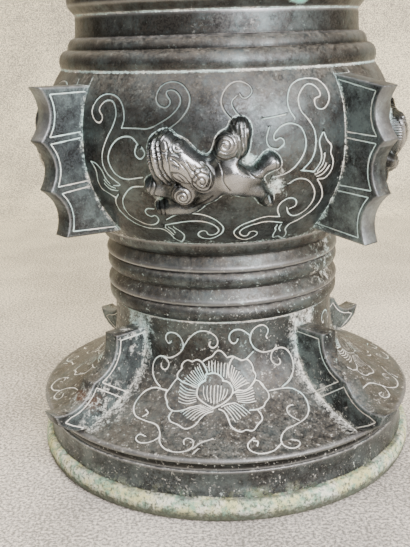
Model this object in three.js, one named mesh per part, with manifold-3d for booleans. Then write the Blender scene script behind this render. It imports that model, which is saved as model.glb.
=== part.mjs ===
// Bronze vase of flanged archaic form, cast in sections that stack on spigots.
// Millimetres, +Z up. The foot rests on z = 0 and the vase's axis is x = 0, y = 0.
// The front panel faces -Y. The scalloped flanges stand between the four panels, on the diagonals.
import * as THREE from 'three';
import { mergeVertices } from 'three/addons/utils/BufferGeometryUtils.js';
import Module from 'manifold-3d';

const wasm = await Module();
wasm.setup();

// Facets round each turned piece, a multiple of eight so that a facet edge lies behind each flange
const facets = 40;
// Clearance between pieces that seat on each other
const seatGap = 0.3;
// Flanges, reliefs and panels come in fours
const panelCount = 4;

// Foot base ring: a rounded contact rim under a shallow hollow band
const bandRadius = 78.2;
const rimProud = 3.0;
const rimHeight = 7.5;
const bandHeight = 12.1;
const bandHollow = 0.7;
const baseWall = 5.5;
const baseSpigotWall = 2.2;
const baseSpigotHeight = 2.8;

// Foot bell: an undercut and a bead, then a cone that sweeps up to the stem
const undercutDepth = 0.8;
const undercutHeight = 3.3;
const beadProud = 2.0;
const beadHeight = 2.6;
const coneHeight = 40.2;
const coneSweep = 3.8;
const coneCrowding = 1.4;
const stemRadius = 46.8;
const footWall = 3.5;

// Stem collar: two ribs, each with a rounded underside and a bevelled top, then a cuff
const ribCount = 2;
const ribProud = 2.4;
const ribUndersideHeight = 8.6;
const ribBevelHeight = 4.7;
const cuffProud = 4.4;
const cuffHeight = 5.8;
const stemSpigotHeight = 6;
const stemSpigotWall = 2.8;

// Bottom plate: the floor of the water space, carried on a ledge inside the stem collar
const plateThickness = 3;

// Bulb: swells from the cuff to its widest level and turns in at the shoulder
const bulbBottomRadius = 52.5;
const bulbRadius = 70;
const bulbTopRadius = 62.8;
const bulbRise = 35.6;
const bulbFall = 26.4;
const bulbSwellPower = 2;
const bulbShoulderPower = 2.8;
const bulbWall = 3.2;
const bulbSpigotHeight = 5;
const bulbSpigotWall = 2.8;

// Shoulder collar: a lower ring, a smaller upper ring and a plain neck band
const lowerRingProud = 0.6;
const lowerRingHeight = 7.1;
const ringStepRadius = 59.8;
const upperRingHeight = 4.5;
const neckBandRadius = 56.5;
const neckBandTaper = 0.4;
const neckBandHeight = 8.1;
const shoulderWall = 3.3;
const shoulderSpigotHeight = 4.5;

// Neck ring: a chamfered ring between the neck band and the trumpet
const neckRingProud = 2.9;
const neckRingChamfer = 3.3;
const neckRingHeight = 8.8;
const neckRingSpigotHeight = 5;
const neckRingSpigotWall = 3;
const trumpetSocketDepth = 5;

// Trumpet: flares to the mouth and ends in a lip
const trumpetHeight = 145;
const trumpetFlarePower = 2.4;
const mouthRadius = 88;
const trumpetWall = 3;
const trumpetBottomProud = 1.8;
const lipProud = 4;
const lipHeight = 9.5;

// Flanges: scalloped slabs, with each cusp placed by its reach past the body and its level
const flangeThickness = 7.8;
const scallopSteps = 4;

// Foot flange: cusp reaches are measured from the stem's radius, levels down from the cone's top
const footFlangeReach = [13.9, 23.4, 41.4];
const footFlangeDrop = [4.9, 22.0, 29.1];
const footScallopSag = 4.0;
const footFlangeToeReach = 30.5;
const footFlangeToeDrop = 39.9;

// Bulb flange: reaches are measured from the bulb's widest radius, levels up from the widest level
const bulbFlangeReach = [15.8, 16.8, 14.6, 9.5];
const bulbFlangeLevel = [22.5, 3.5, -15.5, -33.2];
const bulbScallopSag = 3.8;
const bulbFlangeHeelLevel = -30.6;
const bulbFlangeCrownLevel = 23.5;

// Neck flange: reaches are measured from the trumpet's wall at each level, levels up from its bottom
const neckFlangeReach = [19, 18.5, 17.5, 16, 13];
const neckFlangeLevel = [16, 42, 68, 94, 119];
const neckScallopSag = 4.2;

// How far a slab or relief runs into the body before the body's clearance is cut out of it
const slabOverrun = 8;

// Lion relief: rounded masses laid on the bulb. along runs to the viewer's right and up runs up from
// the bulb's widest level; half and high are half sizes, proud is the standing height, lean is in degrees
const lionLength = 49;
const lionMasses = [
  { name: 'head', along: -14.2, up: -1.0, half: 10.2, high: 9.0, proud: 6.6, lean: -12 },
  { name: 'mane', along: -6.8, up: -6.0, half: 7.0, high: 7.4, proud: 6.2, lean: 20 },
  { name: 'chest', along: -10.5, up: -13.4, half: 4.8, high: 4.4, proud: 5.4, lean: 0 },
  { name: 'waist', along: 0.8, up: -9.2, half: 7.4, high: 5.6, proud: 4.6, lean: 0 },
  { name: 'haunch', along: 7.2, up: -7.6, half: 6.6, high: 7.6, proud: 6.0, lean: 14 },
  { name: 'thigh', along: 13.2, up: -6.4, half: 5.4, high: 3.2, proud: 4.4, lean: 18 },
  { name: 'raised_paw', along: 21.2, up: -2.4, half: 5.0, high: 3.8, proud: 4.6, lean: 28 },
  { name: 'shank', along: 14.6, up: -13.4, half: 7.6, high: 2.8, proud: 3.6, lean: -12 },
  { name: 'hind_paw', along: 21.4, up: -17.4, half: 3.2, high: 3.0, proud: 3.8, lean: 0 },
  { name: 'tail_curl', along: 4.6, up: 2.2, half: 4.8, high: 5.2, proud: 5.2, lean: 0 },
  { name: 'tail_tuft', along: 9.6, up: 4.4, half: 4.8, high: 8.2, proud: 5.0, lean: -8 },
  { name: 'foreleg', along: -12.4, up: -18.4, half: 9.4, high: 3.0, proud: 4.0, lean: 6 },
  { name: 'front_paw', along: -19.2, up: -12.2, half: 6.4, high: 3.0, proud: 4.0, lean: -24 },
];
// The masses are set out for a lion 49 mm long, and scale with its length
const lionScale = lionLength / 49;
const massSides = 9;
const massRings = 4;

// Levels of the stacked sections, from the floor up
const baseHeight = rimHeight + bandHeight;
const bellLevel = baseHeight + seatGap;
const bellHeight = undercutHeight + beadHeight + coneHeight;
const stemLevel = bellLevel + bellHeight + seatGap;
const ribPitch = ribUndersideHeight + ribBevelHeight;
const stemHeight = ribCount * ribPitch + cuffHeight;
const ledgeLevel = stemHeight - bulbSpigotHeight - plateThickness - seatGap;
const plateLevel = stemLevel + ledgeLevel + seatGap;
const bulbLevel = stemLevel + stemHeight + seatGap;
const bulbHeight = bulbRise + bulbFall;
const shoulderLevel = bulbLevel + bulbHeight + seatGap;
const shoulderHeight = lowerRingHeight + upperRingHeight + neckBandHeight;
const neckRingLevel = shoulderLevel + shoulderHeight + seatGap;
const trumpetLevel = neckRingLevel + neckRingHeight + seatGap;

// Radii that one section takes from the next
const baseInnerRadius = bandRadius - baseWall;
const baseSpigotRadius = baseInnerRadius + baseSpigotWall;
const bellSkirtBore = baseSpigotRadius + seatGap;
const stemBore = stemRadius - footWall;
const stemSpigotRadius = stemBore - seatGap;
const stemSpigotBore = stemSpigotRadius - stemSpigotWall;
const bulbSpigotRadius = stemBore - seatGap;
const bulbSpigotBore = bulbSpigotRadius - bulbSpigotWall;
const bulbTopBore = bulbTopRadius - bulbWall;
const neckBandTopRadius = neckBandRadius - neckBandTaper;
const shoulderSpigotRadius = bulbTopBore - seatGap;
const neckBore = neckBandTopRadius - shoulderWall;
const neckSpigotRadius = neckBore - seatGap;
const neckSpigotBore = neckSpigotRadius - neckRingSpigotWall;
const trumpetSpigotRadius = neckSpigotRadius - seatGap;
const trumpetBottomRadius = trumpetSpigotRadius + trumpetBottomProud;
const trumpetBottomBore = trumpetSpigotRadius - trumpetWall;

const darkBronze = { color: 0x4b4744, roughness: 0.5, metalness: 0.8 };
const reliefBronze = { color: 0x544d48, roughness: 0.42, metalness: 0.85 };
const flangeBronze = { color: 0x46474a, roughness: 0.55, metalness: 0.75 };
const crustedBronze = { color: 0x98a184, roughness: 0.85, metalness: 0.3 };

const vase = new THREE.Group();

function point(radius, level) {
  return new THREE.Vector2(radius, level);
}

// A rounded bead between two levels, bulging past its radius, both ends included
function beadPoints(radius, lowLevel, highLevel, proud, steps) {
  const points = [];
  for (let i = 0; i <= steps; i += 1) {
    const turn = Math.PI * i / steps;
    const level = (lowLevel + highLevel) / 2 - (highLevel - lowLevel) / 2 * Math.cos(turn);
    points.push(point(radius + proud * Math.sin(turn), level));
  }
  return points;
}

// A quarter round that leaves one radius level and reaches the other upright, both ends included
function quarterPoints(lowRadius, highRadius, lowLevel, highLevel, steps) {
  const points = [];
  for (let i = 0; i <= steps; i += 1) {
    const turn = Math.PI / 2 * i / steps;
    const radius = lowRadius + (highRadius - lowRadius) * Math.sin(turn);
    points.push(point(radius, highLevel - (highLevel - lowLevel) * Math.cos(turn)));
  }
  return points;
}

// A curve given as a radius for each share of a height, both ends included
function curvePoints(radiusAt, lowLevel, highLevel, steps, crowding = 1) {
  const points = [];
  for (let i = 0; i <= steps; i += 1) {
    const share = (i / steps) ** crowding;
    points.push(point(radiusAt(share), lowLevel + (highLevel - lowLevel) * share));
  }
  return points;
}

// Turns a closed outline about the vase's axis
function turned(outline) {
  const geometry = new THREE.LatheGeometry([...outline, outline[0].clone()], facets);
  return geometry.rotateX(Math.PI / 2);
}

// A solid of revolution filled to the axis, one clearance larger than the outline given
function clearanceBody(outline) {
  const grown = [];
  for (let i = 0; i < outline.length; i += 1) {
    const before = outline[Math.max(i - 1, 0)];
    const after = outline[Math.min(i + 1, outline.length - 1)];
    const along = after.clone().sub(before).normalize();
    grown.push(point(outline[i].x + along.y * seatGap, outline[i].y - along.x * seatGap));
  }
  const low = grown[0];
  const high = grown[grown.length - 1];
  const lowEnd = low.y - slabOverrun;
  const highEnd = high.y + slabOverrun;
  const profile = [
    point(0, lowEnd), point(low.x, lowEnd), ...grown, point(high.x, highEnd), point(0, highEnd),
  ];
  return new THREE.LatheGeometry(profile, facets).rotateX(Math.PI / 2);
}

function toManifold(geometry) {
  const bare = geometry.clone();
  bare.deleteAttribute('normal');
  bare.deleteAttribute('uv');
  const merged = mergeVertices(bare, 1e-4);
  const mesh = new wasm.Mesh({
    numProp: 3,
    vertProperties: new Float32Array(merged.attributes.position.array),
    triVerts: new Uint32Array(merged.index.array),
  });
  return new wasm.Manifold(mesh);
}

function toGeometry(manifold) {
  const mesh = manifold.getMesh();
  const geometry = new THREE.BufferGeometry();
  geometry.setAttribute('position', new THREE.BufferAttribute(new Float32Array(mesh.vertProperties), 3));
  geometry.setIndex(new THREE.BufferAttribute(new Uint32Array(mesh.triVerts), 1));
  geometry.computeVertexNormals();
  return geometry;
}

function addPiece(name, geometry, finish, level, turn = 0) {
  const mesh = new THREE.Mesh(geometry, new THREE.MeshStandardMaterial(finish));
  mesh.name = name;
  mesh.position.z = level;
  mesh.rotation.z = turn;
  vase.add(mesh);
}

function footBaseRing() {
  const spigotTop = baseHeight + baseSpigotHeight;
  const rimCore = bandRadius + rimProud / 3;
  return turned([
    ...beadPoints(rimCore, 0, rimHeight, rimProud * 2 / 3, 6),
    point(bandRadius, rimHeight),
    point(bandRadius - bandHollow, rimHeight + bandHeight / 2),
    point(bandRadius, baseHeight),
    point(baseSpigotRadius, baseHeight),
    point(baseSpigotRadius, spigotTop),
    point(baseInnerRadius, spigotTop),
    point(baseInnerRadius, 0),
  ]);
}

// Outer radius of the foot's cone for a share of its height, from its foot up
function coneRadius(share) {
  return stemRadius + (bandRadius - stemRadius) * (1 - share) ** coneSweep;
}

function bellOutline() {
  const coneLevel = undercutHeight + beadHeight;
  const undercutRadius = bandRadius - undercutDepth;
  return [
    point(undercutRadius, 0),
    point(undercutRadius, undercutHeight),
    ...beadPoints(bandRadius, undercutHeight, coneLevel, beadProud, 4),
    ...curvePoints(coneRadius, coneLevel, bellHeight, 9, coneCrowding).slice(1),
  ];
}

function footBell() {
  const skirtTop = baseSpigotHeight + seatGap;
  const innerRadiusAt = (share) => stemBore + (bellSkirtBore - stemBore) * (1 - share) ** coneSweep;
  return turned([
    ...bellOutline(),
    ...curvePoints(innerRadiusAt, skirtTop, bellHeight, 8, coneCrowding).reverse(),
    point(bellSkirtBore, 0),
  ]);
}

function stemCollar() {
  const outline = [];
  for (let rib = 0; rib < ribCount; rib += 1) {
    const level = rib * ribPitch;
    outline.push(...quarterPoints(stemRadius, stemRadius + ribProud, level, level + ribUndersideHeight, 4));
  }
  outline.push(...quarterPoints(stemRadius, stemRadius + cuffProud, ribCount * ribPitch, stemHeight, 4));
  return turned([
    ...outline,
    point(stemBore, stemHeight),
    point(stemBore, ledgeLevel),
    point(stemSpigotBore, ledgeLevel),
    point(stemSpigotBore, -stemSpigotHeight),
    point(stemSpigotRadius, -stemSpigotHeight),
    point(stemSpigotRadius, 0),
  ]);
}

function bottomPlate() {
  const radius = stemBore - seatGap;
  const disc = new THREE.CylinderGeometry(radius, radius, plateThickness, facets);
  return disc.rotateX(Math.PI / 2).translate(0, 0, plateThickness / 2);
}

// Outer radius of the bulb at a level above its bottom
function bulbRadiusAt(level) {
  if (level < bulbRise) {
    const share = (bulbRise - level) / bulbRise;
    return bulbRadius - (bulbRadius - bulbBottomRadius) * share ** bulbSwellPower;
  }
  const share = (level - bulbRise) / bulbFall;
  return bulbRadius - (bulbRadius - bulbTopRadius) * share ** bulbShoulderPower;
}

function bulbOutline(steps) {
  return curvePoints((share) => bulbRadiusAt(share * bulbHeight), 0, bulbHeight, steps);
}

function bulbBody() {
  const inner = bulbOutline(9).map((spot) => point(spot.x - bulbWall, spot.y));
  const floorLevel = bulbWall;
  const insideFloor = point(bulbRadiusAt(floorLevel) - bulbWall, floorLevel);
  return turned([
    ...bulbOutline(14),
    ...inner.slice(1).reverse(),
    insideFloor,
    point(bulbSpigotBore, floorLevel),
    point(bulbSpigotBore, -bulbSpigotHeight),
    point(bulbSpigotRadius, -bulbSpigotHeight),
    point(bulbSpigotRadius, 0),
  ]);
}

function shoulderCollar() {
  const upperLevel = lowerRingHeight + upperRingHeight;
  const lowerRingRadius = bulbTopRadius + lowerRingProud;
  const lowerRing = quarterPoints(ringStepRadius, lowerRingRadius, lowerRingHeight, lowerRingHeight / 3, 5);
  const upperRing = quarterPoints(neckBandRadius, ringStepRadius, upperLevel, lowerRingHeight, 4);
  return turned([
    point(bulbTopRadius, 0),
    ...lowerRing.reverse(),
    ...upperRing.reverse().slice(1),
    point(neckBandTopRadius, shoulderHeight),
    point(neckBore, shoulderHeight),
    point(neckBore, upperLevel),
    point(shoulderSpigotRadius - shoulderWall, 0),
    point(shoulderSpigotRadius - shoulderWall, -shoulderSpigotHeight),
    point(shoulderSpigotRadius, -shoulderSpigotHeight),
    point(shoulderSpigotRadius, 0),
  ]);
}

function neckRing() {
  const ringRadius = neckBandTopRadius + neckRingProud;
  const socketLevel = neckRingHeight - trumpetSocketDepth;
  return turned([
    point(neckBandTopRadius, 0),
    point(ringRadius, neckRingChamfer),
    ...quarterPoints(trumpetBottomRadius, ringRadius, neckRingHeight, neckRingHeight * 0.7, 4).reverse(),
    point(trumpetSpigotRadius + seatGap, neckRingHeight),
    point(trumpetSpigotRadius + seatGap, socketLevel),
    point(neckSpigotBore, socketLevel),
    point(neckSpigotBore, -neckRingSpigotHeight),
    point(neckSpigotRadius, -neckRingSpigotHeight),
    point(neckSpigotRadius, 0),
  ]);
}

// Outer radius of the trumpet for a share of its height below the lip
function trumpetRadius(share) {
  return trumpetBottomRadius + (mouthRadius - trumpetBottomRadius) * share ** trumpetFlarePower;
}

function trumpetOutline() {
  return curvePoints(trumpetRadius, 0, trumpetHeight, 9);
}

function trumpetNeck() {
  const mouthBore = mouthRadius - trumpetWall;
  const boreGrowth = mouthBore - trumpetBottomBore;
  const innerRadiusAt = (share) => trumpetBottomBore + boreGrowth * share ** trumpetFlarePower;
  const lipTop = trumpetHeight + lipHeight;
  return turned([
    ...trumpetOutline(),
    ...beadPoints(mouthRadius, trumpetHeight, lipTop, lipProud, 6).slice(1),
    point(mouthBore, lipTop),
    ...curvePoints(innerRadiusAt, 0, trumpetHeight, 8).reverse(),
    point(trumpetBottomBore, -trumpetSocketDepth),
    point(trumpetSpigotRadius, -trumpetSocketDepth),
    point(trumpetSpigotRadius, 0),
  ]);
}

// The scalloped edge of a flange: arcs that bow towards the body from one cusp to the next
function scallopedEdge(cusps, sag) {
  const points = [cusps[0]];
  for (let i = 1; i < cusps.length; i += 1) {
    const along = cusps[i].clone().sub(cusps[i - 1]).normalize();
    const hollow = cusps[i - 1].clone().add(cusps[i]).multiplyScalar(0.5);
    hollow.x += along.y * 2 * sag;
    hollow.y -= along.x * 2 * sag;
    const arc = new THREE.QuadraticBezierCurve(cusps[i - 1], hollow, cusps[i]);
    points.push(...arc.getPoints(scallopSteps).slice(1));
  }
  return points;
}

// A flange slab that points along +X, trimmed to stand one clearance off the body it is fixed to
function flange(outline, bodyOutline) {
  const shape = new THREE.Shape(outline);
  const slab = new THREE.ExtrudeGeometry(shape, { depth: flangeThickness, bevelEnabled: false });
  slab.translate(0, 0, -flangeThickness / 2).rotateX(Math.PI / 2);
  const body = toManifold(clearanceBody(bodyOutline));
  return toGeometry(toManifold(slab).subtract(body));
}

function footFlange() {
  const cusps = footFlangeReach.map((reach, i) => point(stemRadius + reach, bellHeight - footFlangeDrop[i]));
  const toe = point(stemRadius + footFlangeToeReach, bellHeight - footFlangeToeDrop);
  const innerRadius = stemRadius - slabOverrun;
  const outline = [
    ...scallopedEdge(cusps, footScallopSag),
    toe,
    point(innerRadius, toe.y),
    point(innerRadius, cusps[0].y),
  ];
  return flange(outline, bellOutline());
}

function bulbFlange() {
  const cusps = bulbFlangeReach.map((reach, i) => point(bulbRadius + reach, bulbRise + bulbFlangeLevel[i]));
  const innerRadius = bulbBottomRadius - slabOverrun;
  const outline = [
    ...scallopedEdge(cusps, bulbScallopSag),
    point(bulbBottomRadius, bulbRise + bulbFlangeHeelLevel),
    point(innerRadius, bulbRise + bulbFlangeHeelLevel),
    point(innerRadius, bulbRise + bulbFlangeCrownLevel),
    point(bulbTopRadius, bulbRise + bulbFlangeCrownLevel),
  ];
  return flange(outline, bulbOutline(14));
}

function neckFlange() {
  const radiusAt = (level) => trumpetRadius(level / trumpetHeight);
  const rising = neckFlangeLevel.map((level, i) => point(radiusAt(level) + neckFlangeReach[i], level));
  const cusps = rising.reverse();
  const innerRadius = trumpetBottomRadius - slabOverrun;
  const outline = [
    ...scallopedEdge(cusps, neckScallopSag),
    point(innerRadius, cusps[cusps.length - 1].y),
    point(innerRadius, cusps[0].y),
  ];
  return flange(outline, trumpetOutline());
}

// One rounded mass of the lion, a flattened ball laid on the bulb's surface
function lionMass(mass) {
  const level = bulbRise + mass.up * lionScale;
  const halves = [mass.half, mass.proud, mass.high].map((half) => half * lionScale);
  const ball = new THREE.SphereGeometry(1, massSides, massRings).scale(...halves);
  ball.rotateY(-THREE.MathUtils.degToRad(mass.lean)).translate(0, -bulbRadiusAt(level), level);
  return toManifold(ball.rotateZ(mass.along * lionScale / bulbRadius));
}

function lionRelief() {
  const lion = lionMasses.map(lionMass).reduce((whole, mass) => whole.add(mass));
  return toGeometry(lion.subtract(toManifold(clearanceBody(bulbOutline(14)))));
}

addPiece('foot_base_ring', footBaseRing(), crustedBronze, 0);
addPiece('foot_bell', footBell(), darkBronze, bellLevel);
addPiece('stem_collar', stemCollar(), darkBronze, stemLevel);
addPiece('bottom_plate', bottomPlate(), darkBronze, plateLevel);
addPiece('bulb_body', bulbBody(), darkBronze, bulbLevel);
addPiece('shoulder_collar', shoulderCollar(), darkBronze, shoulderLevel);
addPiece('neck_ring', neckRing(), darkBronze, neckRingLevel);
addPiece('trumpet_neck', trumpetNeck(), darkBronze, trumpetLevel);

const cornerNames = ['front_right', 'back_right', 'back_left', 'front_left'];
const sideNames = ['front', 'right', 'back', 'left'];
const quarterTurn = 2 * Math.PI / panelCount;

for (let i = 0; i < panelCount; i += 1) {
  const cornerTurn = (i - 0.5) * quarterTurn;
  addPiece(`foot_flange_${cornerNames[i]}`, footFlange(), flangeBronze, bellLevel, cornerTurn);
  addPiece(`bulb_flange_${cornerNames[i]}`, bulbFlange(), flangeBronze, bulbLevel, cornerTurn);
  addPiece(`neck_flange_${cornerNames[i]}`, neckFlange(), flangeBronze, trumpetLevel, cornerTurn);
  addPiece(`lion_relief_${sideNames[i]}`, lionRelief(), reliefBronze, bulbLevel, i * quarterTurn);
}

export default vase;
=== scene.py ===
"""Looks of a flanged bronze vase: engraved panels, lion reliefs, scalloped flanges and patina.

Every piece is worked out in millimetres in the frame's own axes: +Z up, the front panel facing -Y.
"""

import functools
import math

import bmesh
import bpy
import numpy as np
from mathutils import Matrix, Vector
from mathutils.geometry import delaunay_2d_cdt
from mathutils.kdtree import KDTree


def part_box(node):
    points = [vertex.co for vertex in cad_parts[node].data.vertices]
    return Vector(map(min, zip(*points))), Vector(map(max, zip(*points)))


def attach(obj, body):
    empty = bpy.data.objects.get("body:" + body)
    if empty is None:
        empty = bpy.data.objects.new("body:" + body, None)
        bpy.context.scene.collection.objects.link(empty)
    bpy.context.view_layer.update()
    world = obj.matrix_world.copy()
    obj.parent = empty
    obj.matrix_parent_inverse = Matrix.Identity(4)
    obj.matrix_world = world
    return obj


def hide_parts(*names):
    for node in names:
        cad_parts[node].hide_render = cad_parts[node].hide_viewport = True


bl_info = {
    "name": "Flanged bronze vase",
    "version": (1, 0, 0),
    "blender": (4, 5, 0),
    "location": "View3D > Sidebar > Vase",
    "description": "Builds the finished surfaces of a flanged bronze vase round its solids",
    "category": "Object",
}

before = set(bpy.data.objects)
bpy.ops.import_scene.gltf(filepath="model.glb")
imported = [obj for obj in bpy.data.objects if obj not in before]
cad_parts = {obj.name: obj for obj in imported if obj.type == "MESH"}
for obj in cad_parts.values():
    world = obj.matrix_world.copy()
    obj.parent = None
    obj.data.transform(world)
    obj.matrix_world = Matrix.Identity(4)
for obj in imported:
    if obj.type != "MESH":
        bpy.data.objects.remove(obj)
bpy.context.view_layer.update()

mm = 0.001
quarters = 4
quarter_turn = math.pi / 2
corner_names = ("front_right", "back_right", "back_left", "front_left")
side_names = ("front", "right", "back", "left")


def low_of(node):
    """Lowest level of a solid, in millimetres."""
    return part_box(node)[0].z / mm


def top_of(node):
    """Highest level of a solid, in millimetres."""
    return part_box(node)[1].z / mm


def reach_of(node):
    """How far a turned solid reaches from the axis, in millimetres."""
    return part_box(node)[1].x / mm


# Levels and radii of the stacked sections, read from the solids
seat_gap = 0.3
base_spigot_height = 2.8
base_height = top_of("foot_base_ring") - base_spigot_height
bell_level = low_of("foot_bell")
bell_top = top_of("foot_bell")
stem_level = bell_top + seat_gap
stem_top = top_of("stem_collar")
bulb_level = stem_top + seat_gap
bulb_top = top_of("bulb_body")
bulb_radius = reach_of("bulb_body")
shoulder_level = bulb_top + seat_gap
shoulder_top = top_of("shoulder_collar")
ring_level = shoulder_top + seat_gap
ring_top = top_of("neck_ring")
trumpet_level = ring_top + seat_gap
trumpet_top = top_of("trumpet_neck")
lip_radius = reach_of("trumpet_neck")

# Foot base ring
rim_height = 8.8
rim_proud = 3.0
band_radius = reach_of("foot_base_ring") - rim_proud
band_hollow = 0.7
base_wall = 5.5
base_spigot_wall = 2.2

# Foot bell
undercut_depth = 0.8
undercut_height = 3.3
bead_proud = 2.0
bead_height = 2.6
cone_sweep = 3.8
stem_radius = 46.8
foot_wall = 3.5
cone_level = bell_level + undercut_height + bead_height

# Stem collar
rib_count = 2
rib_proud = 2.4
rib_underside_height = 8.6
rib_bevel_height = 4.7
rib_edge_height = 1.6
rib_groove = 1.1
rib_bead_out = 0.2
rib_bead_sink = 0.4
rib_bead_gaps = (0.3, 0.5)
rib_groove_spread = (0.2, 0.4)
cuff_proud = 4.4
stem_spigot_height = 6.0
stem_spigot_wall = 2.8
plate_thickness = 3.0
# The plate is turned round a hole too small to see
plate_pinhole = 0.01

# Bulb
bulb_bottom_radius = 52.5
bulb_top_radius = 62.8
bulb_rise = 35.6
bulb_fall = bulb_top - bulb_level - bulb_rise
bulb_swell_power = 2.0
bulb_shoulder_power = 2.8
bulb_wall = 3.2
bulb_spigot_height = 5.0
bulb_spigot_wall = 2.8
widest_level = bulb_level + bulb_rise

# Shoulder collar and neck ring
lower_ring_proud = 0.6
lower_ring_height = 7.1
ring_step_radius = 59.8
upper_ring_height = 4.5
neck_band_radius = 56.5
neck_band_taper = 0.4
neck_band_top_radius = neck_band_radius - neck_band_taper
shoulder_wall = 3.3
shoulder_spigot_height = 4.5
neck_ring_proud = 2.9
neck_ring_chamfer = 3.3
neck_ring_spigot_height = 5.0
neck_ring_spigot_wall = 3.0
trumpet_socket_depth = 5.0

# Trumpet
lip_height = 9.5
lip_proud = 4.0
trumpet_wall = 3.0
trumpet_bottom_proud = 1.8
trumpet_flare_power = 2.4
mouth_radius = lip_radius - lip_proud
trumpet_height = trumpet_top - lip_height - trumpet_level

# Radii that one section takes from the next
stem_bore = stem_radius - foot_wall
stem_spigot_radius = stem_bore - seat_gap
stem_spigot_bore = stem_spigot_radius - stem_spigot_wall
neck_bore = neck_band_top_radius - shoulder_wall
neck_spigot_radius = neck_bore - seat_gap
neck_spigot_bore = neck_spigot_radius - neck_ring_spigot_wall
trumpet_spigot_radius = neck_spigot_radius - seat_gap
trumpet_bottom_radius = trumpet_spigot_radius + trumpet_bottom_proud
trumpet_bottom_bore = trumpet_spigot_radius - trumpet_wall

# Flanges: reaches and levels of the cusps, as cast
foot_flange_reach = (13.9, 23.4, 41.4)
foot_flange_drop = (4.9, 22.0, 29.1)
foot_scallop_sag = 4.0
foot_toe_reach = 30.5
foot_toe_drop = 39.9
# In the photograph the foot flanges' middle cusp and toe stand further out than on the even solids
foot_cusp_drift = ((0.0, -0.6), (2.3, 0.2), (2.8, -0.4))
foot_spoke_drop = 9.1
# Radius and level of the toe's rounded edge, and of the frame cut inside it
foot_toe_edge = ((89.0, 31.6), (85.2, 28.6), (81.6, 26.9))
foot_toe_frame = ((86.6, 32.4), (83.2, 29.9), (78.6, 27.4))
bulb_flange_reach = (15.8, 16.8, 14.6, 9.5)
bulb_flange_level = (22.5, 3.5, -15.5, -33.2)
bulb_scallop_sag = 3.8
bulb_heel_level = -30.6
bulb_crown_level = 23.5
# How far the two flanges in the photograph stray from that: crown, cusps from the top, heel
bulb_flange_drift = {
    "front_left": (-1.2, (0.3, 0.8, 2.0, 2.2), -2.0),
    "front_right": (0.6, (-2.2, -1.3, -1.5, -2.3), -2.2),
}
neck_flange_reach = (19.0, 18.5, 17.5, 16.0, 13.0)
neck_flange_level = (16.0, 42.0, 68.0, 94.0, 119.0)
neck_scallop_sag = 4.2
flange_thickness = 7.8
# A frame's cut line keeps this far inside the flange's edge, and two frames keep this gap
frame_inset = 2.1
frame_gap = 2.1
# How deep a flange's or relief's root is soldered into the wall
root_sink = 0.5
# A cut line's depth, and where its mark fades out, in half widths of the line
depth_per_half_width = 1.2
mark_reach = 1.7

# Pale lines in the seams, verdigris with a painted edge highlight: half width of its line, and how far that
# lies inside a panel's edge
seam_half_width = 0.4
seam_inset = 0.1
lion_seam_half_width = 0.38
lion_seam_gap = 0.35
# The line down a flange's root on the bulb: its lower end above the panel's lower edge,
# and its upper end above the flange's crown
bulb_root_low = 5.5
bulb_root_high = 1.5
# Damp beside seams and flange roots: how far it reaches and how strong it is
root_damp_reach = 3.2
flange_root_damp = 0.62
bulb_seam_damp_reach = 6.0
bulb_seam_damp = 0.48
foot_damp_reach = 6.5
foot_damp = 0.68
# On the bulb it weakens from a lower to a higher level of the panel
bulb_root_damp = ((-34, 20), (0.56, 0.3))
# Lines high up and in the middle of the bulb's panel are rubbed bare: level, rise, reach and share
bare_level = -4
bare_rise = 16
bare_reach = 36
bare_share = 0.5
# How much darker a flange's outer edge face is painted, and how wide its rubbed border with a painted
# highlight is
edge_darkening = 0.45
edge_rub_and_highlight = 0.35
# Levels of the painted shade in the bell's undercut, above its lower edge
undercut_shade = (1.0, 2.4)
stain_radius = 6
# Crust on the rim: how far it climbs the band and wavers, and the levels where the dirt and painted contact
# shadow begin and are whole
crust_climb = 5
crust_wobble = 1.6
dirt_and_shadow_top = 6.0
dirt_and_shadow_whole = 2.2

# Marks that each piece's points carry for its material, from 0 to 1
mark_names = ("engraved", "crevice", "worn_and_highlit", "shade_and_soot_mark", "bare")


def linear(hex_colour):
    """An sRGB hex colour as linear red, green, blue and full alpha."""
    channels = [int(hex_colour[i:i + 2], 16) / 255 for i in (0, 2, 4)]
    toned = [c / 12.92 if c <= 0.04045 else ((c + 0.055) / 1.055) ** 2.4 for c in channels]
    return (*toned, 1.0)


def length_setting(name, description, length):
    return bpy.props.FloatProperty(name=name, description=description, default=length * mm, unit="LENGTH")


def colour_setting(name, description, hex_colour):
    return bpy.props.FloatVectorProperty(
        name=name, description=description, size=4, subtype="COLOR", default=linear(hex_colour))


def power_setting(name, description, watts):
    return bpy.props.FloatProperty(name=name, description=description, default=watts, unit="POWER")


class VaseSizes(bpy.types.PropertyGroup):
    line_width: length_setting("Engraved line width", "Width of the cut lines", 0.62)
    vein_width: length_setting("Vein width", "Width of the petals' fine lines", 0.44)
    edge_round: length_setting("Turned edge rounding", "Radius of the turned edges", 0.9)
    flange_round: length_setting("Flange edge rounding", "Radius of the filed flange edges", 0.5)
    panel_spacing: length_setting("Panel spacing", "Mesh spacing between the cut lines", 1.9)
    turned_steps: bpy.props.IntProperty(
        name="Turned steps", description="Steps round each turned section, a multiple of 8", default=192)


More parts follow.
